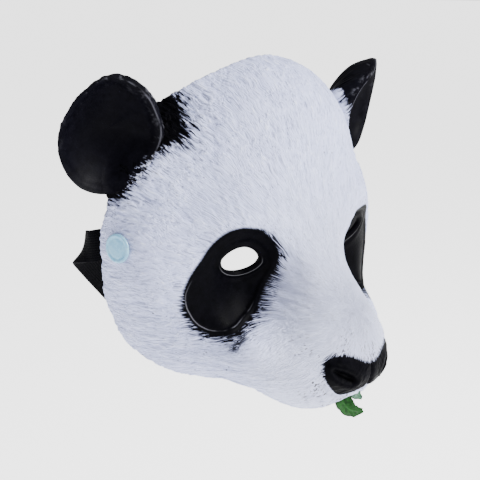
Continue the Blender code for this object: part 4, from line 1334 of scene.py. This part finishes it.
def build_strap():
    along, across = 620, 30
    centre, width, length = strap_curve(along + 1)
    tangent = unit(np.gradient(centre, axis=0))
    width = unit(width - tangent * (width * tangent).sum(1, keepdims=True))
    normal = np.cross(tangent, width)
    d = np.linspace(-1.0, 1.0, across + 1)
    p = centre[:, None] + width[:, None] * (d * 0.5 * STRAP_W)[None, :, None]
    nn = np.repeat(normal[:, None], across + 1, axis=1)
    depth = STRAP_OUT + 0.5 * STRAP_T
    under = np.clip((47.0 - p[..., 1]) / 6.0, 0.0, 1.0)[..., None] * (np.abs(p[..., 0:1]) > 60.0)
    pushed = push_off_head(p.reshape(-1, 3), -depth).reshape(p.shape)
    p = p + (pushed - p) * under
    du = np.gradient(p, axis=0)
    dv = np.gradient(p, axis=1)
    nn = unit(np.cross(du, dv))
    s_mm = np.linspace(0, length, along + 1)
    # ribs along the band, thinner towards its selvedges
    prof = 0.5 * STRAP_T * (1.0 - 0.30 * np.abs(d) ** 10)
    rib = 0.07 * np.cos(d * 0.5 * STRAP_W * math.tau / 1.25)
    r = np.random.default_rng(5)
    wav = np.interp(s_mm, np.linspace(0, length, 60), r.standard_normal(60)) * 0.05
    h = (prof + rib)[None, :] + wav[:, None]
    h = np.minimum(h, 0.5 * STRAP_T + 0.05)
    top = p + nn * h[..., None]
    bot = p - nn * h[..., None]
    A = along + 1
    W = across + 1
    v = np.concatenate([top.reshape(-1, 3), bot.reshape(-1, 3)])
    i, j = np.meshgrid(np.arange(along), np.arange(across), indexing="ij")
    ix = lambda a, b: a * W + b
    q1 = np.stack([ix(i, j), ix(i + 1, j), ix(i + 1, j + 1), ix(i, j + 1)], axis=-1).reshape(-1, 4)
    # the posts' places, found but not used; no holes are cut in the band
    posts = [snap_frame(sd)[0] for sd in (-1, 1)]
    off = A * W
    q2 = q1[:, ::-1] + off
    ring = np.concatenate([ix(np.arange(A), 0), ix(along, np.arange(1, W)),
                           ix(np.arange(along - 1, -1, -1), across), ix(0, np.arange(across - 1, 0, -1))])
    a, b2 = ring, np.roll(ring, -1)
    q3 = np.column_stack([a, a + off, b2 + off, b2])
    q = np.concatenate([q1, q2, q3])
    ob = make_mesh("strap_band", v, q, strap_material(length))
    me = ob.data
    uv = me.uv_layers.new(name="band")
    coords = np.stack(np.meshgrid(s_mm, (d + 1.0) * 0.5 * STRAP_W, indexing="ij"), axis=-1).reshape(-1, 2)
    coords = np.concatenate([coords, coords])
    li = np.zeros(len(me.loops), np.int32)
    me.loops.foreach_get("vertex_index", li)
    uv.data.foreach_set("uv", coords[li].astype(np.float32).ravel())
    bm = bmesh.new()
    bm.from_mesh(me)
    bmesh.ops.recalc_face_normals(bm, faces=bm.faces[:])
    bm.to_mesh(me)
    bm.free()
    me.shade_smooth()
    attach(ob, "root")
    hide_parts("strap")
    print("strap length mm", round(length, 1))
    return ob, length


strap, strap_length = build_strap()


# ---------------------------------------------------------------- leaf slips
def leaf_material(name, low, high, edge_col):
    m, nt, b = new_material(name)
    co = obj_coords(nt)
    vein = attribute(nt, "vein")
    rim = attribute(nt, "rim")
    a = noise(nt, co, 420.0, 4.0, 0.65)
    f = maths(nt, "ADD", a, maths(nt, "MULTIPLY", vein, 0.30))
    c = ramp(nt, f, [(0.30, low), (0.80, high)])
    c = mix_colour(nt, maths(nt, "MULTIPLY", rim, 0.8), c, edge_col)
    link(nt, c, b.inputs["Base Color"])
    link(nt, ramp(nt, a, [(0.3, 0.42), (0.7, 0.6)]), b.inputs["Roughness"])
    b.inputs["Specular IOR Level"].default_value = 0.10
    b.inputs["Subsurface Weight"].default_value = 0.15
    b.inputs["Subsurface Radius"].default_value = (0.0008, 0.002, 0.0006)
    b.inputs["Subsurface Scale"].default_value = 1.0
    link(nt, bump(nt, noise(nt, co, 900.0, 3.0), 0.0002, 0.5), b.inputs["Normal"])
    return m


def build_leaf(name, rows, mat, cup, replaced, seed):
    r = np.array(rows)
    s = np.concatenate([[0.0], np.cumsum(np.linalg.norm(np.diff(r[:, :3], axis=0), axis=1))])
    na, nw = 140, 28
    x = np.linspace(0, s[-1], na + 1)
    y = np.linspace(-1, 1, nw + 1)
    table = np.column_stack([s, r])
    q = smooth_table(table, x)
    ctr, half = q[:, :3], q[:, 3].copy()
    rng = np.random.default_rng(seed)
    # a cut, slightly ragged edge
    rag = np.interp(x, np.linspace(0, s[-1], 26), rng.uniform(-1, 1, 26))
    rag2 = np.interp(x, np.linspace(0, s[-1], 26), rng.uniform(-1, 1, 26))
    side = unit(np.array([0.86, -0.30, 0.25]))
    d = unit(np.gradient(ctr, axis=0))
    w = unit(side - d * (d @ side)[:, None])
    n = np.cross(d, w)
    taper = np.minimum(1.0, half / 2.0)
    wl = half + 0.35 * rag * taper
    wr = half + 0.35 * rag2 * taper
    wid = np.where(y[None, :] < 0, wl[:, None], wr[:, None])
    p = ctr[:, None] + w[:, None] * (y[None, :] * wid)[..., None]
    fold = cup * (y[None, :] ** 2 - 0.4) + 0.28 * np.sin(x[:, None] * 0.55 + 2.0 * y[None, :]) * (np.abs(y)[None, :])
    mid_vein = np.exp(-(y[None, :] / 0.08) ** 2)
    sv = np.cos((x[:, None] - 3.2 * np.abs(y)[None, :]) * math.tau / 2.4)
    side_vein = np.clip(sv - 0.75, 0, 1) * 4.0 * (np.abs(y)[None, :] > 0.1)
    relief = -0.22 * mid_vein - 0.10 * side_vein
    p = p + n[:, None] * (fold + relief)[..., None]
    t = 0.40 * (1.0 - 0.5 * np.abs(y)[None, :] ** 6) * np.ones((na + 1, 1))
    top = p + n[:, None] * t[..., None]
    bot = p - n[:, None] * t[..., None]
    W = nw + 1
    v = np.concatenate([top.reshape(-1, 3), bot.reshape(-1, 3)])
    i, j = np.meshgrid(np.arange(na), np.arange(nw), indexing="ij")
    ix = lambda a, b: a * W + b
    q1 = np.stack([ix(i, j), ix(i + 1, j), ix(i + 1, j + 1), ix(i, j + 1)], axis=-1).reshape(-1, 4)
    off = (na + 1) * W
    ring = np.concatenate([ix(np.arange(na + 1), 0), ix(na, np.arange(1, W)),
                           ix(np.arange(na - 1, -1, -1), nw), ix(0, np.arange(nw - 1, 0, -1))])
    a, b2 = ring, np.roll(ring, -1)
    faces_l = np.concatenate([q1, q1[:, ::-1] + off, np.column_stack([a, a + off, b2 + off, b2])])
    ob = make_mesh(name, v, faces_l, mat)
    bm = bmesh.new()
    bm.from_mesh(ob.data)
    bmesh.ops.recalc_face_normals(bm, faces=bm.faces[:])
    bm.to_mesh(ob.data)
    bm.free()
    ob.data.shade_smooth()
    ve = np.clip(mid_vein + 0.5 * side_vein, 0, 1) * np.ones((na + 1, 1))
    rm = smoothstep(0.80, 1.0, np.abs(y)[None, :]) * np.ones((na + 1, 1))
    rm = np.maximum(rm, smoothstep(s[-1] - 1.2, s[-1], x)[:, None])
    add_value(ob, "vein", np.concatenate([ve.ravel()] * 2))
    add_value(ob, "rim", np.concatenate([rm.ravel()] * 2))
    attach(ob, "root")
    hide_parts(replaced)
    return ob


build_leaf("leaf_main", LEAF_FRONT, leaf_material("leaf_green", (0.0030, 0.020, 0.0034), (0.012, 0.070, 0.011), (0.0012, 0.005, 0.002)),
           1.0, "leaf_front", 3)
build_leaf("leaf_small", LEAF_BACK, leaf_material("leaf_pale", (0.040, 0.100, 0.058), (0.115, 0.215, 0.150), (0.015, 0.05, 0.02)),
           0.6, "leaf_back", 4)


# ---------------------------------------------------------------- floor and light
def build_stage():
    m, nt, b = new_material("floor_white")
    b.inputs["Base Color"].default_value = (0.93, 0.93, 0.93, 1.0)
    b.inputs["Roughness"].default_value = 0.9
    b.inputs["Specular IOR Level"].default_value = 0.1
    b.inputs["Emission Color"].default_value = (1.0, 1.0, 1.0, 1.0)
    b.inputs["Emission Strength"].default_value = 2.2
    bm = bmesh.new()
    bmesh.ops.create_grid(bm, x_segments=1, y_segments=1, size=200.0)
    me = bpy.data.meshes.new("floor")
    bm.to_mesh(me)
    bm.free()
    me.materials.append(m)
    floor = bpy.data.objects.new("floor", me)
    floor.location = (0.0, 0.0, -0.45)
    bpy.context.scene.collection.objects.link(floor)
    w = bpy.data.worlds.new("studio")
    w.use_nodes = True
    bg = w.node_tree.nodes["Background"]
    bg.inputs["Color"].default_value = (1.0, 1.0, 1.0, 1.0)
    bg.inputs["Strength"].default_value = 0.55
    bpy.context.scene.world = w

    def area(name, loc, to, size, power, colour):
        ld = bpy.data.lights.new(name, "AREA")
        ld.shape = "RECTANGLE"
        ld.size = size[0]
        ld.size_y = size[1]
        ld.energy = power
        ld.color = colour
        ob = bpy.data.objects.new(name, ld)
        ob.location = loc
        ob.rotation_mode = "QUATERNION"
        ob.rotation_quaternion = (Vector(to) - Vector(loc)).to_track_quat("-Z", "Y")
        bpy.context.scene.collection.objects.link(ob)

    area("key", (0.52, -0.95, 0.74), (0, 0, 0.02), (0.40, 0.40), 50.0, (1.0, 1.0, 1.0))
    area("top", (-0.20, 0.10, 1.20), (0, 0, 0.04), (0.8, 0.8), 7.0, (0.97, 0.98, 1.0))
    area("fill", (-1.0, -0.55, 0.30), (0, 0, 0), (0.7, 0.7), 1.5, (0.93, 0.95, 1.0))


build_stage()
